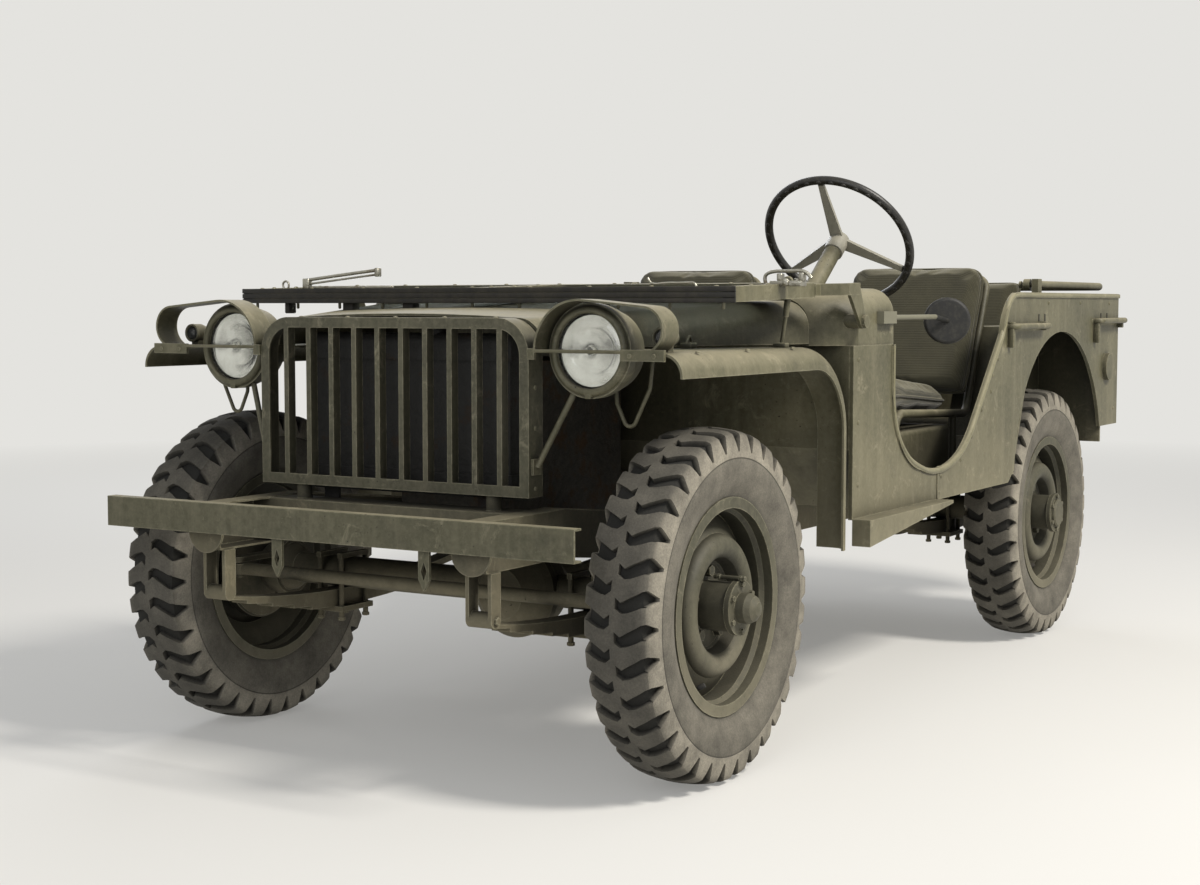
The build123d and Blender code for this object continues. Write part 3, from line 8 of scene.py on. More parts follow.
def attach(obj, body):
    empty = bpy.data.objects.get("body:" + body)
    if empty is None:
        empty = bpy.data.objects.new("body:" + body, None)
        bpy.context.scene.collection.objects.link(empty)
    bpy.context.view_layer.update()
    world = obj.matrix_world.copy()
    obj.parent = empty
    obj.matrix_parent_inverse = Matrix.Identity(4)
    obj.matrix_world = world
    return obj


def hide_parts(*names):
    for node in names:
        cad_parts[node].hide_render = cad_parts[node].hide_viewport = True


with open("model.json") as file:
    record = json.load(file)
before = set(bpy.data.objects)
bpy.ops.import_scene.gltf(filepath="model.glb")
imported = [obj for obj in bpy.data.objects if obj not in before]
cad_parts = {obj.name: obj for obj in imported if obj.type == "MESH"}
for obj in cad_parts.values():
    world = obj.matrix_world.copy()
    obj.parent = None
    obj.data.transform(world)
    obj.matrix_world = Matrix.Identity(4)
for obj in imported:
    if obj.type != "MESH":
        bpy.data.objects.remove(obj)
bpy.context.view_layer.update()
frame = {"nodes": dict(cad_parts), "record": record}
nodes = frame["nodes"]

# The nose points to -Y, +X is the car's left side, and the ground is at z = 0. Places in tables and calls are
# in millimetres: across from the car's middle, behind the front axle, and above the ground.
FRONT_AXLE = -1105
WHEELBASE = 2019
WHEEL_X = 592
WHEEL_Z = 359
BODY_HALF_WIDTH = 686
RAIL_FACE = 365
SPRING_X = 335
LAMP_X = 457
LAMP_Z = 873
PANEL_FACE = 765
HINGE_DISTANCE = 545
HINGE_Z = 926
MIRROR_CENTRE = (702, 1060, 924)
STEERING_CENTRE = (355, 1185, 1127)
SIDES = (("left", 1), ("right", -1))
WHEELS = [
    ("front_left", 1, 0),
    ("front_right", -1, 0),
    ("rear_left", 1, WHEELBASE),
    ("rear_right", -1, WHEELBASE),
]
UP = (0, 0, 1)
DOWN = (0, 0, -1)
FORWARDS = (0, -1, 0)
BACKWARDS = (0, 1, 0)


def at(x, distance, z):
    """A place in metres from the tables' millimetres."""
    return Vector((x, FRONT_AXLE + distance, z)) / 1000


# Camera: the photograph's place, direction in degrees and lens, found from the wheels, bumper and body
CAMERA_DOWN = 4.185
CAMERA_TURN = 31.265
camera_data = bpy.data.cameras.new("camera")
camera = bpy.data.objects.new("camera", camera_data)
bpy.context.scene.collection.objects.link(camera)
camera_data.sensor_width = 36.0
camera_data.lens = 56.15
camera.location = (2.3613, -4.4178, 0.9612)
camera.rotation_euler = (math.radians(90 - CAMERA_DOWN), 0, math.radians(CAMERA_TURN))
bpy.context.scene.camera = camera


# Finishes. A noise texture's scale is 1000 over the size in millimetres that its comment gives.
def linear(hex_colour):
    """An sRGB hex colour as the linear values that a shader takes."""
    parts = [int(hex_colour[i:i + 2], 16) / 255 for i in (0, 2, 4)]
    return tuple(p / 12.92 if p <= 0.04045 else ((p + 0.055) / 1.055) ** 2.4 for p in parts) + (1.0,)


def new_finish(name):
    """An empty node material, and the tree to build in."""
    finish = bpy.data.materials.new(name)
    finish.use_nodes = True
    finish.node_tree.nodes.clear()
    return finish, finish.node_tree


def add(tree, kind, out=0, settings=(), **inputs):
    """Adds a node and returns one of its outputs, if it has any. An input goes by its name or, like i6, by
    its number, and is a value, a hex colour or another node's output."""
    node = tree.nodes.new("ShaderNode" + kind)
    for name, value in dict(settings).items():
        setattr(node, name, value)
    for name, value in inputs.items():
        key = int(name[1:]) if name[1:].isdigit() else name.replace("_", " ")
        socket = node.inputs[key]
        if isinstance(value, bpy.types.NodeSocket):
            tree.links.new(value, socket)
        else:
            socket.default_value = linear(value) if isinstance(value, str) else value
    return node.outputs[out] if node.outputs else None


RGBA = {"data_type": "RGBA"}
PRODUCT = {"operation": "MULTIPLY"}
LARGER = {"operation": "MAXIMUM"}


def army_paint(name, main, faded, dust, dust_on_top, splash_height, roughness):
    """Sprayed olive drab lacquer, flat and chalky: it fades in patches, wears pale at its edges, chips in
    small spots, and holds road dust on what faces up and near the ground. Its recesses get painted shade."""
    finish, tree = new_finish(name)
    place = add(tree, "TexCoord", "Object")
    facing = add(tree, "NewGeometry", "Normal")
    up = add(tree, "SeparateXYZ", "Z", Vector=facing)
    height = add(tree, "SeparateXYZ", "Z", Vector=place)
    # Faded patches about 350 mm across, and mottling of 12 mm
    patches = add(tree, "TexNoise", Vector=place, Scale=2.9, Detail=5.0, Roughness=0.6)
    patches = add(tree, "MapRange", Value=patches, From_Min=0.35, From_Max=0.68)
    colour = add(tree, "Mix", 2, RGBA, i0=patches, i6=main, i7=faded)
    mottle = add(tree, "TexNoise", Vector=place, Scale=80.0, Detail=4.0, Roughness=0.7)
    mottle = add(tree, "MapRange", Value=mottle, From_Min=0.3, From_Max=0.7, To_Max=0.16)
    colour = add(tree, "Mix", 2, RGBA, i0=mottle, i6=colour, i7=dust)
    # Scuffed stains of 60 mm with ragged edges, where dirt and boots have rubbed the lacquer
    stains = add(tree, "TexNoise", Vector=place, Scale=16.0, Detail=8.0, Roughness=0.78, Distortion=0.6)
    stains = add(tree, "MapRange", Value=stains, From_Min=0.56, From_Max=0.66, To_Max=0.38)
    colour = add(tree, "Mix", 2, RGBA, i0=stains, i6=colour, i7=dust)
    # Dark stains of 140 mm, from oil and wet
    dark_stains = add(tree, "TexNoise", Vector=place, Scale=7.0, Detail=8.0, Roughness=0.75)
    dark_stains = add(tree, "MapRange", Value=dark_stains, From_Min=0.55, From_Max=0.7, To_Max=0.45)
    colour = add(tree, "Mix", 2, RGBA, i0=dark_stains, i6=colour, i7="2b2a1f")
    # Rain marks: lumps drawn out to 500 mm down the side and 40 mm across
    drawn = add(tree, "Mapping", Vector=place, Scale=(24.0, 24.0, 2.0))
    streaks = add(tree, "TexNoise", Vector=drawn, Scale=1.0, Detail=3.0, Roughness=0.6)
    streaks = add(tree, "MapRange", Value=streaks, From_Min=0.48, From_Max=0.8, To_Max=0.2)
    colour = add(tree, "Mix", 2, RGBA, i0=streaks, i6=colour, i7=dust)
    # Road dust: on top, and thrown up near the ground, broken by clouds of 110 mm
    on_top = add(tree, "MapRange", Value=up, From_Min=0.25, From_Max=0.95, To_Max=dust_on_top)
    low_down = add(tree, "MapRange", Value=height, From_Min=splash_height, From_Max=0.1, To_Max=0.95)
    clouds = add(tree, "TexNoise", Vector=place, Scale=9.0, Detail=6.0, Roughness=0.7)
    clouds = add(tree, "MapRange", Value=clouds, From_Min=0.32, From_Max=0.72, To_Min=0.35)
    laid = add(tree, "Math", settings=LARGER, i0=on_top, i1=low_down)
    laid = add(tree, "Math", settings=PRODUCT, i0=laid, i1=clouds)
    colour = add(tree, "Mix", 2, RGBA, i0=laid, i6=colour, i7=dust)
    # Painted shade: darker towards near-black in recesses, where something stands within 280 mm all round
    open_share = add(tree, "AmbientOcclusion", "AO", {"samples": 5}, Distance=0.28)
    recess_shade = add(tree, "MapRange", Value=open_share, From_Min=0.85, From_Max=0.2, To_Max=0.82)
    colour = add(tree, "Mix", 2, RGBA, i0=recess_shade, i6=colour, i7="17160f")
    # Edges rubbed pale over about 4 mm, where the rounded normal leaves the flat one, in spots of 26 mm
    rounded = add(tree, "Bevel", settings={"samples": 4}, Radius=0.004)
    turn = add(tree, "VectorMath", "Value", {"operation": "DOT_PRODUCT"}, i0=rounded, i1=facing)
    edge = add(tree, "MapRange", Value=turn, From_Min=0.985, From_Max=0.88)
    rub = add(tree, "TexNoise", Vector=place, Scale=38.0, Detail=4.0, Roughness=0.65)
    rub = add(tree, "MapRange", Value=rub, From_Min=0.38, From_Max=0.62, To_Min=0.15, To_Max=0.75)
    edge = add(tree, "Math", settings=PRODUCT, i0=edge, i1=rub)
    colour = add(tree, "Mix", 2, RGBA, i0=edge, i6=colour, i7="9a957d")
    # Chips of 3 to 6 mm down to dark primer, in a few areas of 170 mm
    chips = add(tree, "TexNoise", Vector=place, Scale=150.0, Detail=2.0)
    chips = add(tree, "MapRange", Value=chips, From_Min=0.70, From_Max=0.72)
    areas = add(tree, "TexNoise", Vector=place, Scale=6.0, Detail=2.0)
    areas = add(tree, "MapRange", Value=areas, From_Min=0.52, From_Max=0.62)
    chipped = add(tree, "Math", settings=PRODUCT, i0=chips, i1=areas)
    colour = add(tree, "Mix", 2, RGBA, i0=chipped, i6=colour, i7="2e2a22")
    rough = add(tree, "MapRange", Value=laid, To_Min=roughness, To_Max=0.95)
    # Spray texture of 4 mm and shallow dents of 200 mm
    spray = add(tree, "TexNoise", Vector=place, Scale=250.0, Detail=2.0)
    dents = add(tree, "TexNoise", Vector=place, Scale=5.0, Detail=2.0, Roughness=0.4)
    relief = add(tree, "Math", settings={"operation": "MULTIPLY_ADD"}, i0=spray, i1=0.08, i2=dents)
    bump = add(tree, "Bump", Height=relief, Distance=0.004, Strength=1.0)
    shader = add(tree, "BsdfPrincipled", Base_Color=colour, Roughness=rough, Specular_IOR_Level=0.4,
                 Normal=bump)
    add(tree, "OutputMaterial", Surface=shader)
    return finish


def worn_metal(name, dark, light, rust, rust_share, metallic, roughness):
    """Iron or steel left bare: rolled or cast, its scale dulled in lumps of 18 mm, with rust in patches of
    70 mm."""
    finish, tree = new_finish(name)
    place = add(tree, "TexCoord", "Object")
    lumps = add(tree, "TexNoise", Vector=place, Scale=55.0, Detail=5.0, Roughness=0.7)
    lumps = add(tree, "MapRange", Value=lumps, From_Min=0.3, From_Max=0.7)
    colour = add(tree, "Mix", 2, RGBA, i0=lumps, i6=dark, i7=light)
    rust_starts, rust_full = 0.62 - rust_share * 0.2, 0.7 - rust_share * 0.1
    rusty = add(tree, "TexNoise", Vector=place, Scale=14.0, Detail=5.0, Roughness=0.7)
    rusty = add(tree, "MapRange", Value=rusty, From_Min=rust_starts, From_Max=rust_full)
    colour = add(tree, "Mix", 2, RGBA, i0=rusty, i6=colour, i7=rust)
    rough = add(tree, "MapRange", Value=rusty, To_Min=roughness, To_Max=0.9)
    bump = add(tree, "Bump", Height=lumps, Distance=0.0012)
    shader = add(tree, "BsdfPrincipled", Base_Color=colour, Roughness=rough, Metallic=metallic, Normal=bump)
    add(tree, "OutputMaterial", Surface=shader)
    return finish


def tyre_rubber():
    """Moulded natural rubber with soot: grey-black and dull, with pale road dust that is thickest on the
    walls. The share of dust is the piece's own attribute, broken by clouds of 70 mm and 4 mm grit."""
    finish, tree = new_finish("moulded tyre rubber, dusty")
    place = add(tree, "TexCoord", "Object")
    dust = add(tree, "Attribute", "Fac", {"attribute_name": "road_dust"})
    clouds = add(tree, "TexNoise", Vector=place, Scale=14.0, Detail=7.0, Roughness=0.68)
    clouds = add(tree, "MapRange", Value=clouds, From_Min=0.3, From_Max=0.7, To_Min=0.45, To_Max=1.15)
    fine = add(tree, "TexNoise", Vector=place, Scale=260.0, Detail=4.0, Roughness=0.7)
    grain = add(tree, "MapRange", Value=fine, From_Min=0.3, From_Max=0.75, To_Min=0.7, To_Max=1.2)
    share = add(tree, "Math", settings=PRODUCT, i0=dust, i1=clouds)
    share = add(tree, "Math", settings={"operation": "MULTIPLY", "use_clamp": True}, i0=share, i1=grain)
    colour = add(tree, "Mix", 2, RGBA, i0=share, i6="232321", i7="9a9486")
    bump = add(tree, "Bump", Height=fine, Distance=0.0007)
    shader = add(tree, "BsdfPrincipled", Base_Color=colour, Roughness=0.86, Specular_IOR_Level=0.3,
                 Normal=bump)
    add(tree, "OutputMaterial", Surface=shader)
    return finish


def clear_glass(name, tint, roughness):
    """Drawn or pressed glass: clear with a faint cast, and thin dust that dulls it in clouds of 55 mm."""
    finish, tree = new_finish(name)
    place = add(tree, "TexCoord", "Object")
    film = add(tree, "TexNoise", Vector=place, Scale=18.0, Detail=5.0, Roughness=0.7)
    rough = add(tree, "MapRange", Value=film, From_Min=0.35, From_Max=0.75, To_Min=roughness,
                To_Max=roughness + 0.16)
    shader = add(tree, "BsdfPrincipled", Base_Color=tint, Roughness=rough, Transmission_Weight=0.95, IOR=1.45)
    add(tree, "OutputMaterial", Surface=shader)
    return finish


def cotton_duck():
    """Woven cotton canvas, olive: a plain weave of 1.2 mm threads, drawn at 3 mm so that it shows, faded pale
    on what faces up, where people sit, and dusty in clouds of 140 mm."""
    finish, tree = new_finish("cotton duck, olive")
    place = add(tree, "TexCoord", "Object")
    facing = add(tree, "SeparateXYZ", "Z", Vector=add(tree, "NewGeometry", "Normal"))
    clouds = add(tree, "TexNoise", Vector=place, Scale=7.0, Detail=5.0, Roughness=0.65)
    clouds = add(tree, "MapRange", Value=clouds, From_Min=0.35, From_Max=0.7)
    colour = add(tree, "Mix", 2, RGBA, i0=clouds, i6="2f2e24", i7="413f30")
    top = add(tree, "MapRange", Value=facing, From_Min=0.5, From_Max=1.0, To_Max=0.6)
    colour = add(tree, "Mix", 2, RGBA, i0=top, i6=colour, i7="8f8a72")
    # The wave texture's scale for a period of 3 mm is 2 pi / 0.003 / 20
    thread_scale = 105.0
    across = add(tree, "TexWave", "Fac", {"bands_direction": "X"}, Vector=place, Scale=thread_scale)
    up = add(tree, "TexWave", "Fac", {"bands_direction": "Z"}, Vector=place, Scale=thread_scale)
    along = add(tree, "TexWave", "Fac", {"bands_direction": "Y"}, Vector=place, Scale=thread_scale)
    weave = add(tree, "Math", settings=LARGER, i0=up, i1=along)
    weave = add(tree, "Math", settings=PRODUCT, i0=across, i1=weave)
    threads = add(tree, "MapRange", Value=weave, To_Max=0.35)
    colour = add(tree, "Mix", 2, RGBA, i0=threads, i6=colour, i7="77725a")
    bump = add(tree, "Bump", Height=weave, Distance=0.0006)
    shader = add(tree, "BsdfPrincipled", Base_Color=colour, Roughness=0.92, Sheen_Weight=0.25, Normal=bump,
                 Specular_IOR_Level=0.2)
    add(tree, "OutputMaterial", Surface=shader)
    return finish


def plain_moulding(name, colour, worn, roughness, metallic=0.0):
    """Hard rubber, silvered metal or enamel: even, with a little wear and grease in clouds of 30 mm."""
    finish, tree = new_finish(name)
    place = add(tree, "TexCoord", "Object")
    clouds = add(tree, "TexNoise", Vector=place, Scale=32.0, Detail=5.0, Roughness=0.7)
    clouds = add(tree, "MapRange", Value=clouds, From_Min=0.4, From_Max=0.75)
    mixed = add(tree, "Mix", 2, RGBA, i0=clouds, i6=colour, i7=worn)
    rough = add(tree, "MapRange", Value=clouds, To_Min=roughness, To_Max=min(1.0, roughness + 0.25))
    shader = add(tree, "BsdfPrincipled", Base_Color=mixed, Roughness=rough, Metallic=metallic)
    add(tree, "OutputMaterial", Surface=shader)
    return finish


def part_by_reach(name, centre, reach, inner, outer, roughness):
    """One node with two finishes and scuffs of 14 mm: the inner colour up to this reach in metres from a
    centre, and then the outer."""
    finish, tree = new_finish(name)
    place = add(tree, "TexCoord", "Object")
    away = add(tree, "VectorMath", "Value", {"operation": "DISTANCE"}, i0=place, i1=tuple(at(*centre)))
    blend = 0.0005
    beyond = add(tree, "MapRange", Value=away, From_Min=reach - blend, From_Max=reach + blend)
    scuffs = add(tree, "TexNoise", Vector=place, Scale=70.0, Detail=5.0, Roughness=0.7)
    scuffs = add(tree, "MapRange", Value=scuffs, From_Min=0.45, From_Max=0.75, To_Max=0.25)
    colour = add(tree, "Mix", 2, RGBA, i0=beyond, i6=inner, i7=outer)
    colour = add(tree, "Mix", 2, RGBA, i0=scuffs, i6=colour, i7="5b574a")
    shader = add(tree, "BsdfPrincipled", Base_Color=colour, Roughness=roughness, Specular_IOR_Level=0.5)
    add(tree, "OutputMaterial", Surface=shader)
    return finish


DUST = "a39b82"
FINISHES = {
    "body_paint": army_paint("olive drab lacquer, body", "42412d", "605d46", DUST,
                             dust_on_top=0.62, splash_height=0.72, roughness=0.52),
    "chassis_paint": army_paint("olive drab lacquer, chassis", "36362b", "454331", "8d846c",
                                dust_on_top=0.5, splash_height=0.75, roughness=0.7),
    "wheel_paint": army_paint("olive drab lacquer, wheels", "38372a", "454434", "88826e",
                              dust_on_top=0.25, splash_height=0.45, roughness=0.6),
    "cast_iron": worn_metal("cast iron", "2a2926", "413e37", "4d3d2c",
                            rust_share=0.5, metallic=0.5, roughness=0.6),
    "bare_steel": worn_metal("rolled steel, rusted", "4a3a2c", "5f4a37", "6b452a",
                             rust_share=0.9, metallic=0.3, roughness=0.75),
    "tyre_rubber": tyre_rubber(),
    "window_glass": clear_glass("sheet glass", "e6efe9", roughness=0.02),
    "lamp_glass": clear_glass("pressed lamp glass", "f1f2ec", roughness=0.05),
    "canvas": cotton_duck(),
    "wheel_rim_black": plain_moulding("hard rubber, black", "1b1a18", "34312b", roughness=0.38),
}
# Paler lacquer for the edge beads: paint rubbed by hands and boots, and a painted highlight along them
rubbed_highlight_paint = army_paint("olive drab lacquer, rubbed by hands and boots", "666349", "7d795f", DUST,
                          dust_on_top=0.6, splash_height=0.5, roughness=0.45)
bright_steel = worn_metal("drawn steel, handled bright", "8d8a80", "a8a598", "6a5a45",
                          rust_share=0.15, metallic=0.9, roughness=0.32)
silvering = plain_moulding("silvered reflector", "e8e8e4", "d5d5cf", roughness=0.08, metallic=1.0)
dial_face = plain_moulding("enamelled dial, black", "15161a", "24231f", roughness=0.4)
black_rubber_and_shade = plain_moulding("soft rubber, black, and slot shade", "201f1c", "45413a", roughness=0.75)
# The steering wheel's spokes are grey enamel inside its black hard rubber rim, and the mirror's back is black
# with an olive arm
OWN_FINISH = {
    "radiator": worn_metal("radiator core, black lacquer", "141412", "1f1e1b", "33291f",
                           rust_share=0.2, metallic=0.2, roughness=0.6),
    # The grille and the front bumper are darker copies of the body's lacquer: painted shade on the car's
    # front
    "grille": army_paint("olive drab lacquer, grille, in painted shade", "3c3b2c", "4a4936", DUST,
                         dust_on_top=0.4, splash_height=0.3, roughness=0.6),
    "front_bumper": army_paint("olive drab lacquer, bumper, in painted shade", "42412f", "504e3a", DUST,
                               dust_on_top=0.6, splash_height=0.3, roughness=0.6),
    "steering_wheel": part_by_reach("hard rubber rim, enamelled spokes", STEERING_CENTRE, reach=0.178,
                                    inner="8c897c", outer="161513", roughness=0.42),
    "mirror": part_by_reach("black lacquered mirror back", MIRROR_CENTRE, reach=0.0615,
                            inner="10100e", outer="6f6d5c", roughness=0.6),
}
slot_of = {row["node"]: row["material_slot"] for row in frame["record"]["subparts"]}
for name, node in nodes.items():
    node.data.materials.clear()
    node.data.materials.append(OWN_FINISH.get(name) or FINISHES[slot_of[name]])


# How pieces are made: everything is deselected, one object is shaped, and its place ends up in its mesh.
# MERGE_DISTANCE is in metres, and POINT_RADIUS, the least radius of a ring, in millimetres.
MERGE_DISTANCE = 0.00002
POINT_RADIUS = 0.004
ROD_STEPS = 6


def deselect():
    """Nothing selected, no edit mode."""
    if bpy.context.object and bpy.context.object.mode != "OBJECT":
        bpy.ops.object.mode_set(mode="OBJECT")
    bpy.ops.object.select_all(action="DESELECT")


def select_only(piece):
    """One piece selected and active."""
    deselect()
    bpy.context.view_layer.objects.active = piece
    piece.select_set(True)


def open_mesh(piece, mode="FACE", everything=True):
    """Edit mode on one piece, with all of it or none of it selected."""
    select_only(piece)
    bpy.ops.object.mode_set(mode="EDIT")
    bpy.ops.mesh.select_mode(type=mode)
    bpy.ops.mesh.select_all(action="SELECT" if everything else "DESELECT")


def close_mesh(piece):
    """Doubles merged, faces outwards, back in object mode."""
    bpy.ops.mesh.select_all(action="SELECT")
    bpy.ops.mesh.remove_doubles(threshold=MERGE_DISTANCE)
    bpy.ops.mesh.normals_make_consistent(inside=False)
    bpy.ops.object.mode_set(mode="OBJECT")
    return piece


def pick_faces(piece, wanted):
    """Selects the faces for whose centre wanted holds, and stays in edit mode."""
    open_mesh(piece, everything=False)
    bpy.ops.object.mode_set(mode="OBJECT")
    for face in piece.data.polygons:
        face.select = wanted(face.center)
    bpy.ops.object.mode_set(mode="EDIT")


def turned(vertices, rows):
    """A body drawn out ring by ring along Z from rows of height, radius and an optional turn in degrees. A
    ring of no radius becomes a point, because its doubles are merged."""
    deselect()
    height, radius = rows[0][0], max(rows[0][1], POINT_RADIUS)
    bpy.ops.mesh.primitive_circle_add(vertices=vertices, radius=radius / 1000, fill_type="NOTHING",
                                      location=(0, 0, height / 1000))
    piece = bpy.context.object
    bpy.ops.object.transform_apply(location=True, rotation=False, scale=False)
    open_mesh(piece, "VERT")
    for row in rows[1:]:
        new_radius = max(row[1], POINT_RADIUS)
        share = new_radius / radius
        centre = (0, 0, row[0] / 1000)
        bpy.ops.mesh.extrude_region_move(TRANSFORM_OT_translate={"value": (0, 0, (row[0] - height) / 1000)})
        bpy.ops.transform.resize(value=(share, share, 1), center_override=centre)
        if len(row) > 2 and row[2]:
            # With no window open, this operator turns by the opposite of its value
            bpy.ops.transform.rotate(value=-math.radians(row[2]), orient_axis="Z", center_override=centre)
        height, radius = row[0], new_radius
    return close_mesh(piece)


def block(low, high, bevel=1.0):
    """A block between two corners, with every edge rounded."""
    deselect()
    low, high = at(*low), at(*high)
    bpy.ops.mesh.primitive_cube_add(size=1, location=(low + high) / 2, scale=high - low)
    piece = bpy.context.object
    bpy.ops.object.transform_apply(location=True, rotation=True, scale=True)
    open_mesh(piece, "EDGE")
    bpy.ops.mesh.bevel(offset=bevel / 1000, segments=2)
    return close_mesh(piece)


def tube(places, radius, steps, ring_steps, closed):
    """A smooth tube by places in metres: a closed loop, or open with filled ends."""
    line = bpy.data.curves.new("tube", "CURVE")
    line.dimensions = "3D"
    spline = line.splines.new("NURBS")
    spline.points.add(len(places) - 1)
    for point, place in zip(spline.points, places):
        point.co = (*place, 1)
    spline.order_u = min(3, len(places))
    spline.use_endpoint_u = not closed
    spline.use_cyclic_u = closed
    spline.resolution_u = steps
    line.bevel_depth = radius
    line.bevel_resolution = ring_steps
    line.use_fill_caps = not closed
    piece = bpy.data.objects.new("tube", line)
    bpy.context.scene.collection.objects.link(piece)
    select_only(piece)
    bpy.ops.object.convert(target="MESH")
    return piece


def rod(points, radius, ring_steps=3):
    """A bent rod or tube that runs smoothly by these places, with closed ends."""
    places = [at(*point) for point in points]
    piece = tube(places, radius / 1000, ROD_STEPS, ring_steps, closed=False)
    open_mesh(piece)
    return close_mesh(piece)


def put(piece, place, direction):
    """Points a piece's Z axis along direction and sets it at a place."""
    towards = Vector(direction).to_track_quat("Z", "Y").to_matrix().to_4x4()
    piece.data.transform(Matrix.Translation(at(*place)) @ towards)
    return piece


def duplicate(piece):
    """A copy with its own mesh."""
    copy = piece.copy()
    copy.data = piece.data.copy()
    bpy.context.scene.collection.objects.link(copy)
    return copy


def copy_to(master, place, direction):
    """A copy put at a place."""
    return put(duplicate(master), place, direction)


def clear_away(*masters):
    """Takes away the pieces that were only there to be copied."""
    for master in masters:
        bpy.data.objects.remove(master)


def mirrored(pieces):
    """The same pieces on the car's other side."""
    copies = [duplicate(piece) for piece in pieces]
    for copy in copies:
        copy.data.transform(Matrix.Scale(-1, 4, (1, 0, 0)))
        copy.data.flip_normals()
    return copies


def finish_piece(pieces, name, body, slot, finish=None, smooth=35.0):
    """Joins pieces into one, and gives it its name, body and finish: the given one, or else the slot's. Edges
    under this many degrees are shaded smooth."""
    deselect()
    for piece in pieces:
        piece.select_set(True)
    piece = pieces[0]
    bpy.context.view_layer.objects.active = piece
    if len(pieces) > 1:
        bpy.ops.object.join()
    bpy.ops.object.transform_apply(location=True, rotation=True, scale=True)
    bpy.ops.object.shade_smooth_by_angle(angle=math.radians(smooth))
    piece.name = name
    piece.data.name = name
    piece.data.materials.clear()
    piece.data.materials.append(finish or FINISHES[slot])
    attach(piece, body)
    piece.select_set(False)


# Tyres: drawn out ring by ring, turned a little from ring to ring so that the bars bend, then grooved. Angles
# and widths round the tyre are counted in pitches of the tread.
TREAD_PITCHES = 35
STEPS_PER_PITCH = 12
# Half of each groove's columns before they are drawn together, and how far inside a groove a face has to be
EVEN_HALF_WIDTH = 0.25
GROOVE_MARGIN = 0.003
GROOVE_DEPTH = 13
GROOVE_DUST = 0.03
# The radii where the grooves begin and where the wall turns into the tread, and half the rib in its middle
GROOVE_FOOT = 311
SHOULDER = 346.5
MIDDLE_RIB = 5
# Columns: distance across the tyre from its middle, radius, how far the bar has turned there, road dust
TYRE_HALF = [
    (56.5, 204, 0.0, 0.2), (57.5, 221.5, 0.0, 0.3), (62, 230, 0.0, 0.5), (69, 246, 0.0, 0.55),
    (74.5, 266, 0.0, 0.5), (76, 284, 0.0, 0.5), (75.7, 297, 0.0, 0.5), (74.4, 299, 0.0, 0.15),
    (75.6, 301, 0.0, 0.95), (74.6, 312, 0.0, 1.0), (72.6, 324, 0.0, 0.95), (70, 336, 0.0, 0.85),
    (67.5, 344, 0.0, 0.65), (66, 347.5, 0.02, 0.5), (58, 352, 0.05, 0.34), (45, 355, 0.16, 0.28),
    (31, 357, 0.26, 0.28), (17, 358.5, 0.34, 0.3), (5, 359, 0.2, 0.3),
]
# Half a groove's width, by radius up the wall and then by distance from the middle across the tread
WALL_GROOVE = [(GROOVE_FOOT, 0.05), (324, 0.12), (336, 0.19), (347.5, 0.25)]
TREAD_GROOVE = [(MIDDLE_RIB, 0.16), (17, 0.16), (31, 0.21), (66, 0.25)]


def between(value, table):
    """The second column where the first one is this value, in a straight line between rows."""
    for (low, first), (high, second) in zip(table, table[1:]):
        if value <= high:
            return first + (second - first) * max(0.0, min(1.0, (value - low) / (high - low)))
    return table[-1][1]


def groove_half_width(across, radius):
    """Half the groove: a wedge up the wall, widest at the shoulder, and closing again inside the tread."""
    if radius < SHOULDER:
        return between(radius, WALL_GROOVE)
    return between(abs(across), TREAD_GROOVE)


def tyre_master():
    """One tyre round the Z axis at the origin, its outer side up."""
    outer = [row[:3] for row in TYRE_HALF]
    section = [(-x, radius, turn) for x, radius, turn in outer] + outer[::-1]
    pitch = 360 / TREAD_PITCHES
    rows = []
    last_turn = 0.0
    for x, radius, turn in section:
        rows.append((x, radius, (turn - last_turn) * pitch))
        last_turn = turn
    rows.append((section[0][0], section[0][1], -last_turn * pitch))
    tyre = turned(TREAD_PITCHES * STEPS_PER_PITCH, rows)
    turns = sorted((x, turn) for x, radius, turn in outer if radius > SHOULDER)

    def place_in_pitch(point):
        """Across, radius, and how far the point is from the middle of its groove. The two sides' grooves are
        half a pitch apart."""
        x, radius = point.z * 1000, math.hypot(point.x, point.y) * 1000
        turn = between(abs(x), turns) if radius > SHOULDER else 0.0
        phase = math.degrees(math.atan2(point.y, point.x)) / pitch - turn - (0.0 if x > 0 else 0.5)
        return x, radius, phase % 1.0 - 0.5

    # The even columns are drawn together at a groove's narrow ends, so its sides run straight
    for vertex in tyre.data.vertices:
        x, radius, phase = place_in_pitch(vertex.co)
        if radius < GROOVE_FOOT:
            continue
        half = groove_half_width(x, radius)
        if abs(phase) <= EVEN_HALF_WIDTH:
            moved = phase * half / EVEN_HALF_WIDTH
        else:
            outside = (abs(phase) - EVEN_HALF_WIDTH) * (0.5 - half) / (0.5 - EVEN_HALF_WIDTH)
            moved = math.copysign(half + outside, phase)
        vertex.co.rotate(Matrix.Rotation(math.radians((moved - phase) * pitch), 3, "Z"))

    def in_groove(centre):
        """Whether a face lies in a groove, outside its foot and beside the rib in the middle."""
        x, radius, phase = place_in_pitch(centre)
        reached = radius > GROOVE_FOOT and abs(x) > MIDDLE_RIB
        return reached and abs(phase) < groove_half_width(x, radius) - GROOVE_MARGIN

    pick_faces(tyre, in_groove)
    bpy.ops.mesh.extrude_region_shrink_fatten(TRANSFORM_OT_shrink_fatten={"value": -GROOVE_DEPTH / 1000})
    close_mesh(tyre)
    dust_of = {(round(x, 1), round(r, 1)): dust for x, r, turn, dust in TYRE_HALF}
    dust = tyre.data.attributes.new("road_dust", "FLOAT", "POINT")
    for vertex in tyre.data.vertices:
        x, radius = abs(vertex.co.z) * 1000, math.hypot(vertex.co.x, vertex.co.y) * 1000
        dust.data[vertex.index].value = dust_of.get((round(x, 1), round(radius, 1)), GROOVE_DUST)
    return tyre


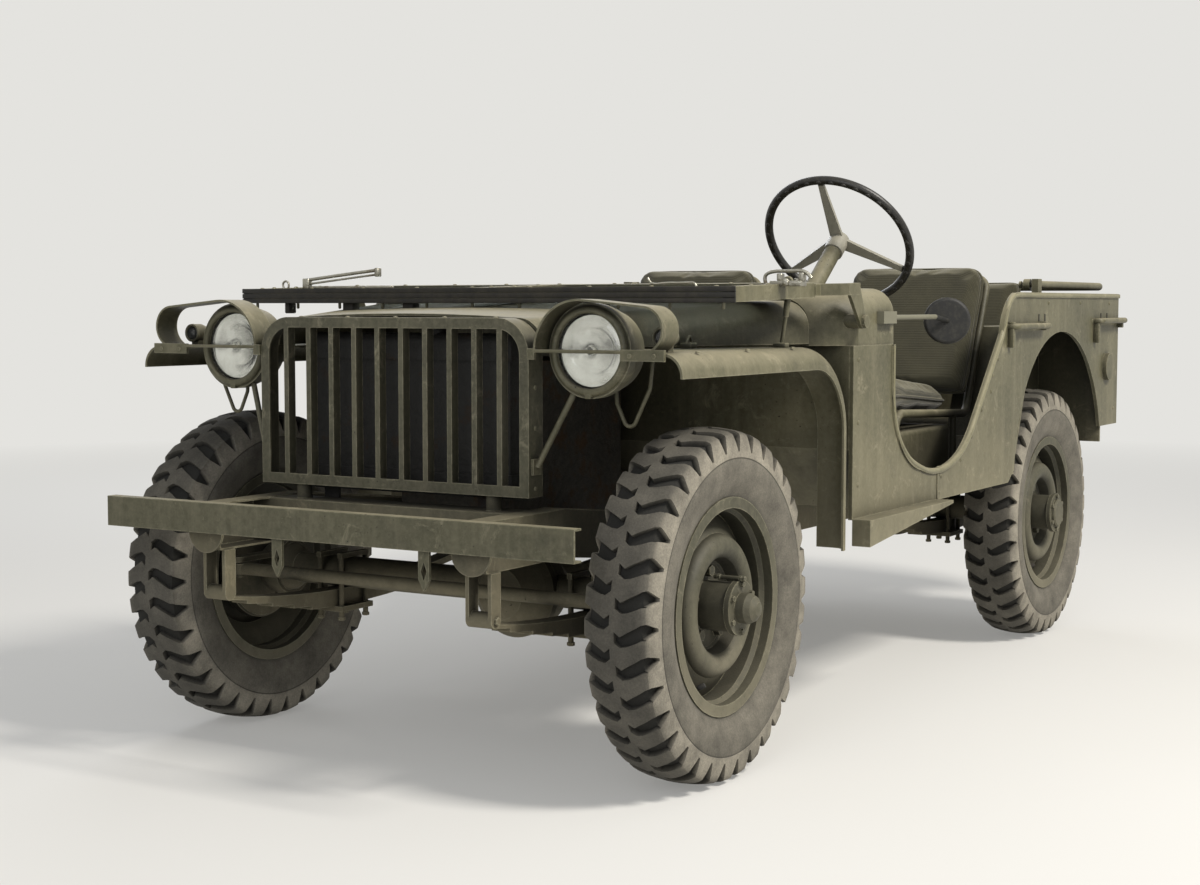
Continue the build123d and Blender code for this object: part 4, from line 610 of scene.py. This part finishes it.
tyre_start = tyre_master()
for name, side, distance in WHEELS:
    tyre = copy_to(tyre_start, (side * WHEEL_X, distance, WHEEL_Z), (side, 0, 0))
    finish_piece([tyre], "tread_" + name, "wheel_" + name, "tyre_rubber", smooth=32)
    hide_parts("tyre_" + name)
clear_away(tyre_start)

# Valve stems: a bent stem that comes out between disc and rim, with its cap, on each wheel
VALVE_CAP = [(0, 0), (0, 5.5), (12, 5.5), (14, 4.5), (14, 0)]
for name, side, distance in WHEELS:
    stem = rod([(side * (WHEEL_X + 2), distance - 108, 198), (side * (WHEEL_X + 26), distance - 107, 200),
                (side * (WHEEL_X + 50), distance - 98, 212)], 4)
    cap_place = (side * (WHEEL_X + 46), distance - 100, 210)
    cap = put(turned(12, VALVE_CAP), cap_place, (side * 0.82, 0.3, 0.45))
    finish_piece([stem, cap], "valve_" + name, "wheel_" + name, "wheel_rim_black", black_rubber_and_shade, smooth=50)

# Small fastenings: made once, copied to their places
rivet = turned(10, [(-1, 0), (-1, 6), (0.6, 6), (1.8, 4.6), (2.6, 2.4), (2.9, 0)])
hex_head = turned(6, [(-1, 0), (-1, 8.5), (5.2, 8.5), (6.4, 7.2), (6.4, 0)])
small_hex = turned(6, [(-1, 0), (-1, 6), (4, 6), (5, 5), (5, 0)])
screw = turned(12, [(-1, 0), (-1, 5), (0.8, 5), (2.2, 3.6), (2.7, 0)])

# Each front hub has a long stud above its nose, with a nut at the flange and two at the tip
STUD_Z = WHEEL_Z + 60
for name, side in SIDES:
    ends = [(side * (WHEEL_X + reach), -6, STUD_Z) for reach in (30, 98)]
    nuts = [(side * (WHEEL_X + reach), -6, STUD_Z) for reach in (40, 88, 95)]
    stud = [rod(ends, 4.5)] + [copy_to(small_hex, place, (side, 0, 0)) for place in nuts]
    finish_piece(stud, "hub_stud_" + name, "wheel_front_" + name, "wheel_paint", smooth=40)

# Body sides: plates at the ends of the two handles, the seam below the door, and the strap slots over the
# handles as thin black blocks: painted shade standing for the openings
HANDLE_STARTS = (1562, 2344)
HANDLE_ENDS = (1836, 2596)
plates = [block((687, start - 8, 848), (703, start + 9, 917), 2) for start in HANDLE_STARTS]
plates += [block((687, end - 8, 892), (703, end + 6, 917), 2) for end in HANDLE_ENDS]
finish_piece(plates + mirrored(plates), "handle_plates", "chassis", "body_paint")
seams = [block((684, 1045, 474), (688.5, 1055, 557), 1.2), block((684, 1046, 560), (687.5, 1076, 566), 1)]
finish_piece(seams + mirrored(seams), "side_seams", "chassis", "body_paint")
SLOT_DISTANCES = (1813, 1866, 2409, 2473)
# Painted shade: each strap slot's opening is drawn as a thin black block on the side
slot_shades = [block((685, distance - 4, 917), (687.5, distance + 4, 938), 1) for distance in SLOT_DISTANCES]
finish_piece(slot_shades + mirrored(slot_shades), "strap_slot_shades", "chassis", "wheel_rim_black", black_rubber_and_shade)

# Rivets of the body sides: behind the door edge, along the seam and round the handles. Columns: behind, above
SIDE_RIVETS = [
    (1482, 820), (1445, 776), (1432, 735), (1362, 690), (1290, 625), (1212, 570), (1062, 545), (1075, 540),
    (1062, 500), (1540, 905), (1856, 905), (2322, 915), (560, 840), (560, 700), (560, 560), (1900, 968),
    (2200, 968), (2500, 968), (2560, 900), (2560, 760), (2560, 640),
]
side_rivets = [copy_to(rivet, (BODY_HALF_WIDTH, distance, z), (1, 0, 0)) for distance, z in SIDE_RIVETS]
finish_piece(side_rivets + mirrored(side_rivets), "side_rivets", "chassis", "body_paint")

# Hexagon heads on the frame's rails, and under the spring clamps of both axles. Columns: place, direction
CHASSIS_BOLTS = [((side * RAIL_FACE, distance, z), (side, 0, 0)) for side in (1, -1)
                 for distance, z in ((-405, 363), (470, 374), (1519, 380), (2499, 376))]
CHASSIS_BOLTS += [((side * (SPRING_X + reach), axle + along, 260), DOWN) for side in (1, -1)
                  for axle in (0, WHEELBASE) for reach in (-30, 30) for along in (-43, 43)]
chassis_bolts = [copy_to(hex_head, place, direction) for place, direction in CHASSIS_BOLTS]
finish_piece(chassis_bolts, "chassis_bolts", "chassis", "chassis_paint")

# Screws of the hood's edge, its sides, the marker lamps' brackets, the fenders, the rear panel and the spare
# wheel's carrier, whose middle is at -150 and 800
BODY_SCREWS = [((x, -235, 937), UP) for x in (-250, -125, 0, 125, 250)]
BODY_SCREWS += [((side * 343, -235, z), (side, 0, 0)) for side in (1, -1) for z in (600, 720, 800)]
BODY_SCREWS += [((side * x, -264, 866), FORWARDS) for side in (1, -1) for x in (575, 628)]
BODY_SCREWS += [((side * 660, distance, 872), UP) for side in (1, -1) for distance in (-150, 60, 270)]
BODY_SCREWS += [((x, 2600, z), BACKWARDS) for x in (-640, -400, 400, 640) for z in (960, 620)]
BODY_SCREWS += [((-150 + x, 2606, 800 + z), BACKWARDS) for x in (-80, 80) for z in (-115, 115)]
body_screws = [copy_to(screw, place, direction) for place, direction in BODY_SCREWS]
finish_piece(body_screws, "body_screws", "chassis", "body_paint")

# Edge bead of each side: a rolled half-round over the flat one, down round the door and along the top rail.
# Columns: behind, above
SIDE_EDGE = [
    (757, 868), (757, 800), (757, 740), (775, 676), (812, 632), (866, 594), (930, 572), (990, 558),
    (1050, 555), (1120, 561), (1180, 577), (1222, 595), (1262, 621), (1311, 668), (1412, 776), (1500, 868),
    (1526, 903), (1548, 950), (1575, 980), (1615, 990), (1680, 990), (2100, 990), (2595, 990),
]
bead = rod([(BODY_HALF_WIDTH - 1, distance, z) for distance, z in SIDE_EDGE], 7.5, ring_steps=4)
# The beads' paler lacquer is rubbed paint together with a painted highlight
finish_piece([bead] + mirrored([bead]), "edge_beads", "chassis", "body_paint", rubbed_highlight_paint, smooth=60)

# Lamps: a rolled bezel round each lens, the silvered bowl behind the glass, the bulb in it, and the marker
# lamp's bezel
BEZEL = [(0, 73.5), (6, 73), (9.5, 75), (11, 79), (10, 84), (5, 88), (0, 89), (0, 73.5)]
BOWL = [(0, 0), (1.2, 8), (1.2, 22), (2.6, 45), (5.5, 68), (4.6, 70), (0.2, 66), (-0.4, 40), (-0.6, 0)]
BULB = [(0, 0), (0, 7), (6, 9), (11, 8), (15, 4), (16, 0)]
MARKER_BEZEL = [(0, 15.5), (3, 15), (5, 17), (4, 20), (0, 20.5), (0, 15.5)]
for name, side in SIDES:
    middle = side * LAMP_X
    bezel = put(turned(48, BEZEL), (middle, -214, LAMP_Z), FORWARDS)
    lug = block((middle - 7, -224, 780), (middle + 7, -212, 796), 2)
    finish_piece([bezel, lug], "lamp_bezel_" + name, "chassis", "body_paint", smooth=50)
    bowl = put(turned(48, BOWL), (middle, -199, LAMP_Z), FORWARDS)
    finish_piece([bowl], "reflector_" + name, "chassis", "body_paint", silvering, smooth=60)
    bulb = put(turned(16, BULB), (middle, -202, LAMP_Z), FORWARDS)
    finish_piece([bulb], "bulb_" + name, "chassis", "lamp_glass", smooth=60)
    marker_bezel = put(turned(24, MARKER_BEZEL), (side * 604, -190, 900), FORWARDS)
    finish_piece([marker_bezel], "marker_bezel_" + name, "chassis", "body_paint", smooth=50)

# Windshield, folded flat. In its own plane v is the distance behind the hinge line, so it is negative on the
# frame, and w is the height over it. FRAME_TOP is w on the frame's upper face.
FOLD = math.radians(1.7)
FRAME_TOP = 89
UP_SHIELD = (0, -math.sin(FOLD), math.cos(FOLD))
DOWN_SHIELD = (0, math.sin(FOLD), -math.cos(FOLD))


def on_shield(x, v, w):
    """A place on the folded windshield, in the tables' millimetres."""
    return (x, HINGE_DISTANCE + v * math.cos(FOLD) - w * math.sin(FOLD),
            HINGE_Z + v * math.sin(FOLD) + w * math.cos(FOLD))


# The top's pegs, the seal of three rubber strips on one backing along the frame's front, and its rubber rests
peg = turned(8, [(0, 0), (0, 3.4), (12, 3.4), (14, 2), (14, 0)])
pegs = [copy_to(peg, on_shield(4 + 123 * number, -509, 57), DOWN_SHIELD) for number in range(-5, 6)]
finish_piece(pegs, "top_pegs", "windshield", "body_paint")
seal = [block(on_shield(-650, -518, low), on_shield(650, -514, high), 1.2)
        for low, high in ((56.0, 65.5), (67.0, 77.5), (79.0, 89.5))]
seal.append(block(on_shield(-649, -515, 56.5), on_shield(649, -512, 89), 1))
finish_piece(seal, "top_seal", "windshield", "wheel_rim_black", black_rubber_and_shade)
rests = [block(on_shield(x - width / 2, -505, 32), on_shield(x + width / 2, -478, 57), 3)
         for x, width in ((-346, 30), (-176, 30), (322, 30), (-526, 14))]
finish_piece(rests, "rest_blocks", "windshield", "wheel_rim_black", black_rubber_and_shade)

# Wiper on the front bar: its post, the two tubes of its arm, the end clip, the blade, and a bent wire on each
# side
wiper = [
    block((-480, 40, 999), (-462, 56, 1024), 3),
    rod([(-468, 48, 1020), (-368, 48, 1031), (-266, 48, 1041)], 4),
    rod([(-462, 48, 1011), (-368, 48, 1021), (-268, 48, 1031)], 2.5),
    block((-270, 40, 1026), (-260, 56, 1046), 2.5),
    block((-455, 42, 1000), (-222, 52, 1006), 1.5),
    rod([(-528, 46, 999), (-522, 46, 1010), (-533, 46, 1020), (-546, 46, 1011), (-538, 46, 999)], 2.5),
    rod([(436, 48, 1019), (441, 48, 1003), (480, 48, 1008), (520, 48, 1007), (548, 48, 1009),
         (549, 48, 1000)], 2.5),
]
finish_piece(wiper, "wiper", "windshield", "bare_steel", bright_steel, smooth=50)

# Clamp on the left arm: its bar, two ears, the bent wire over them, a bolt and a nut
clamp = [
    block((626, 226, 1001), (700, 254, 1013), 2.5),
    block((640, 232, 1012), (652, 248, 1028), 2),
    block((690, 232, 1012), (702, 248, 1030), 2),
    rod([(612, 240, 1006), (606, 240, 1022), (622, 240, 1033), (668, 240, 1033), (706, 240, 1034),
         (716, 240, 1018)], 4),
    copy_to(hex_head, (665, 226, 1010), FORWARDS),
    copy_to(small_hex, (684, 240, 1013), UP),
]
finish_piece(clamp, "arm_clamp", "windshield", "bare_steel", bright_steel, smooth=50)

# The strut from the clamp down to the fender: its upper tube, thinner lower rod, foot, and the boss on top
strut = [
    rod([(641, 296, 1008), (635, 297, 975), (630, 298, 938)], 7),
    rod([(631, 298, 942), (620, 300, 880)], 4.5),
    block((604, 290, 871), (634, 310, 882), 2.5),
    put(turned(20, [(0, 0), (0, 13), (6, 13), (8, 11), (8, 0)]), (641, 288, 1010), FORWARDS),
]
finish_piece(strut, "hold_down_strut", "windshield", "body_paint", smooth=50)

# Screws along the frame's two long bars, its side bars and its middle bar. Columns: across, v
FRAME_SCREWS = [(x, v) for v in (-503, -149) for x in range(-600, 601, 150)]
FRAME_SCREWS += [(side * 636, v) for side in (1, -1) for v in (-420, -340, -250)]
FRAME_SCREWS += [(0, v) for v in (-430, -340, -240)]
frame_screws = [copy_to(screw, on_shield(x, v, FRAME_TOP), UP_SHIELD) for x, v in FRAME_SCREWS]
finish_piece(frame_screws, "windshield_screws", "windshield", "body_paint")

# Mirror glass, turned towards the driver
MIRROR_TURN = math.radians(24.3)
MIRROR_GLASS = [(0, 0), (0, 50), (1.0, 52), (1.6, 50), (1.2, 25), (1.0, 0)]
glass = put(turned(48, MIRROR_GLASS), MIRROR_CENTRE, (-math.sin(MIRROR_TURN), math.cos(MIRROR_TURN), 0))
finish_piece([glass], "mirror_glass", "chassis", "lamp_glass", silvering, smooth=60)

# Dials on the instrument panel: rim, face and needle. Columns: across, above the ground, radius
DIALS = [(110, 943, 38), (30, 943, 25), (-40, 943, 25), (190, 943, 25), (262, 930, 16)]
dial_rims, dial_faces, needles = [], [], []
for x, z, radius in DIALS:
    middle = (x, PANEL_FACE, z)
    rim_rows = [(0, radius - 4), (4, radius - 3), (5, radius), (3.5, radius + 3), (0, radius + 4)]
    face_rows = [(0, radius), (1, radius - 1), (1.2, radius / 2), (1.2, 0)]
    dial_rims.append(put(turned(40, rim_rows), middle, BACKWARDS))
    dial_faces.append(put(turned(40, face_rows), middle, BACKWARDS))
    tip = (x + 1.2, PANEL_FACE + 2.6, z + radius * 0.7)
    needles.append(block((x - 1.2, PANEL_FACE + 1, z - 3), tip, 0.4))
finish_piece(dial_rims, "dial_rims", "chassis", "bare_steel", bright_steel, smooth=50)
finish_piece(dial_faces, "dial_faces", "chassis", "wheel_rim_black", dial_face)
finish_piece(needles, "dial_needles", "chassis", "bare_steel", bright_steel)

# Finger rests: low swellings on the side of the steering wheel's rim that faces away from the driver
TILT = math.radians(38)
RIM_RADIUS = 192
REST_COUNT = 36
REST_DEPTH = 8
rest_start = turned(10, [(-9, 0), (-6.5, 3.6), (0, 5.6), (6.5, 3.6), (9, 0)])
finger_rests = []
for number in range(REST_COUNT):
    angle = math.tau * number / REST_COUNT
    across, up = RIM_RADIUS * math.cos(angle), RIM_RADIUS * math.sin(angle)
    place = (STEERING_CENTRE[0] + across,
             STEERING_CENTRE[1] - up * math.sin(TILT) - REST_DEPTH * math.cos(TILT),
             STEERING_CENTRE[2] + up * math.cos(TILT) - REST_DEPTH * math.sin(TILT))
    tangent = (-math.sin(angle), -math.cos(angle) * math.sin(TILT), math.cos(angle) * math.cos(TILT))
    finger_rests.append(copy_to(rest_start, place, tangent))
finish_piece(finger_rests, "finger_rests", "steering_wheel", "wheel_rim_black", smooth=60)

# Pivot nuts of the windshield, and a catch on each side of the hood
pivot_nut = turned(6, [(-3, 0), (-3, 15), (6, 15), (8, 12), (8, 0)])
pivots = [copy_to(pivot_nut, (side * 703, HINGE_DISTANCE, HINGE_Z), (side, 0, 0)) for side in (1, -1)]
finish_piece(pivots, "pivot_nuts", "windshield", "body_paint")
catch = [
    block((470, 122, 872), (498, 150, 884), 2.5),
    rod([(484, 126, 882), (486, 132, 897), (486, 142, 897), (484, 148, 882)], 3),
]
finish_piece(catch + mirrored(catch), "hood_catches", "chassis", "body_paint", smooth=50)
clear_away(rivet, hex_head, small_hex, screw, peg, rest_start, pivot_nut)

# Cushions: cotton duck over horsehair, swollen by a short cloth simulation, with cord piping round the seam.
# Columns: node, its middle line's two ends as (behind the axle, above the ground), middle across, half-width,
# air pressure, and how far a point may move in metres. The backs are stretched tight on their tubes and swell
# less.
SEATS = [
    ("cushion_left", (1095, 737), (1540, 703), 356, 200, 4.0, 0.022),
    ("cushion_right", (1095, 737), (1540, 703), -356, 200, 4.0, 0.022),
    ("cushion_rear", (1960, 830), (2330, 815), 0, 430, 4.0, 0.022),
    ("backrest_left", (1597, 716), (1752, 1069), 356, 200, 1.2, 0.007),
    ("backrest_right", (1597, 716), (1752, 1069), -356, 200, 1.2, 0.007),
    ("backrest_rear", (2374, 847), (2438, 1037), 0, 430, 1.2, 0.007),
]
SWELL_FRAMES = 20
# Metres, but WIDE_PAD is a half-width in millimetres, above which the voxels are coarse
PAD_MERGE = 0.0001
PAD_INSET = 0.007
FINE_VOXEL = 0.008
COARSE_VOXEL = 0.010
WIDE_PAD = 300
PIPING_RADIUS = 0.0042
PIPING_PROUD = 0.001
# The seam is SEAM_REACH times as wide and long as the pad, and a lower CORNER_POWER gives it squarer corners.
PIPING_POINTS = 72
SEAM_REACH = 1.04
CORNER_POWER = 0.35


def start_pad(node, half):
    """A pad a little inside its CAD node, with even faces that cloth can work on."""
    pad = duplicate(node)
    open_mesh(pad)
    bpy.ops.mesh.remove_doubles(threshold=PAD_MERGE)
    bpy.ops.transform.shrink_fatten(value=-PAD_INSET)
    close_mesh(pad)
    remesh = pad.modifiers.new("remesh", "REMESH")
    remesh.mode = "VOXEL"
    remesh.voxel_size = COARSE_VOXEL if half > WIDE_PAD else FINE_VOXEL
    bpy.ops.object.modifier_apply(modifier="remesh")
    return pad


def swell(pad, pressure, limit):
    """Cloth with air inside and no gravity. No point may end further from its start than the limit."""
    start = [vertex.co.copy() for vertex in pad.data.vertices]
    cloth = pad.modifiers.new("cloth", "CLOTH")
    cloth.settings.use_pressure = True
    cloth.settings.uniform_pressure_force = pressure
    cloth.settings.effector_weights.gravity = 0
    cloth.point_cache.frame_start = 1
    cloth.point_cache.frame_end = SWELL_FRAMES
    for number in range(1, SWELL_FRAMES + 1):
        bpy.context.scene.frame_set(number)
    select_only(pad)
    bpy.ops.object.modifier_apply(modifier="cloth")
    for vertex, place in zip(pad.data.vertices, start):
        step = vertex.co - place
        if step.length > limit:
            vertex.co = place + step * (limit / step.length)
    bpy.context.scene.frame_set(1)


def seam(pad, start, end, middle, half):
    """Places round a pad: a rounded rectangle a little larger than it, pulled to its skin."""
    places = []
    for number in range(PIPING_POINTS):
        angle = math.tau * number / PIPING_POINTS
        across = math.copysign(abs(math.cos(angle)) ** CORNER_POWER, math.cos(angle))
        along = math.copysign(abs(math.sin(angle)) ** CORNER_POWER, math.sin(angle))
        share = 0.5 + along * 0.5 * SEAM_REACH
        distance, z = (low + (high - low) * share for low, high in zip(start, end))
        beside = at(middle + across * half * SEAM_REACH, distance, z)
        _, place, facing, _ = pad.closest_point_on_mesh(beside)
        places.append(place + facing * PIPING_PROUD)
    return places


for name, start, end, middle, half, pressure, limit in SEATS:
    pad = start_pad(nodes[name], half)
    swell(pad, pressure, limit)
    smoother = pad.modifiers.new("smoother", "SUBSURF")
    smoother.levels = smoother.render_levels = 1
    bpy.ops.object.modifier_apply(modifier="smoother")
    places = seam(pad, start, end, middle, half)
    piping = tube(places, PIPING_RADIUS, steps=2, ring_steps=2, closed=True)
    finish_piece([pad, piping], "pad_" + name, "chassis", "canvas", smooth=80)
    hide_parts(name)

# Floor and backdrop: one even pale ground that keeps the car's shadow and melts into the world behind it, 3.2
# to 9 m away
GROUND = "e4e3df"
ground, tree = new_finish("studio floor, matt paper")
glow = add(tree, "Emission", Color=GROUND, Strength=1.0)
paper = add(tree, "BsdfDiffuse", Color=GROUND)
away = add(tree, "VectorMath", "Value", {"operation": "LENGTH"}, i0=add(tree, "TexCoord", "Object"))
far = add(tree, "MapRange", Value=away, From_Min=3.2, From_Max=9.0)
glow_share = add(tree, "MapRange", Value=far, To_Min=0.3, To_Max=1.0)
add(tree, "OutputMaterial", Surface=add(tree, "MixShader", i0=glow_share, i1=paper, i2=glow))
deselect()
bpy.ops.mesh.primitive_plane_add(size=160, location=(0, 0, 0))
floor = bpy.context.object
floor.name = "floor"
floor.data.materials.append(ground)

# The world shows the ground's colour to the camera, in reflections and through glass, and a dimmer sky gives
# the light
world = bpy.data.worlds.new("studio")
bpy.context.scene.world = world
world.use_nodes = True
world.node_tree.nodes.clear()
tree = world.node_tree
seen = add(tree, "LightPath", "Is Camera Ray")
seen = add(tree, "Math", settings=LARGER, i0=seen, i1=add(tree, "LightPath", "Is Glossy Ray"))
seen = add(tree, "Math", settings=LARGER, i0=seen, i1=add(tree, "LightPath", "Is Transmission Ray"))
sky = add(tree, "Background", Color="e8e9ea", Strength=0.42)
shown = add(tree, "Background", Color=GROUND, Strength=1.0)
add(tree, "OutputWorld", Surface=add(tree, "MixShader", i0=seen, i1=sky, i2=shown))
bpy.context.scene.view_settings.view_transform = "Standard"


def soft_lamp(name, place, target, size, watts, colour):
    """A square soft lamp aimed at a place, both in metres."""
    lamp = bpy.data.lights.new(name, "AREA")
    lamp.shape = "SQUARE"
    lamp.size = size
    lamp.energy = watts
    lamp.color = linear(colour)[:3]
    holder = bpy.data.objects.new(name, lamp)
    bpy.context.scene.collection.objects.link(holder)
    holder.location = place
    holder.rotation_euler = (Vector(target) - Vector(place)).to_track_quat("-Z", "Y").to_euler()


soft_lamp("key", (5.2, -0.8, 5.6), (0, 0, 0.5), size=1.5, watts=540, colour="fffaf2")
soft_lamp("front", (1.5, -6.0, 3.0), (0, 0, 0.5), size=3.0, watts=70, colour="f4f7ff")
soft_lamp("rim", (-4.0, 4.5, 4.0), (0, 0, 0.7), size=3.0, watts=120, colour="f4f7ff")
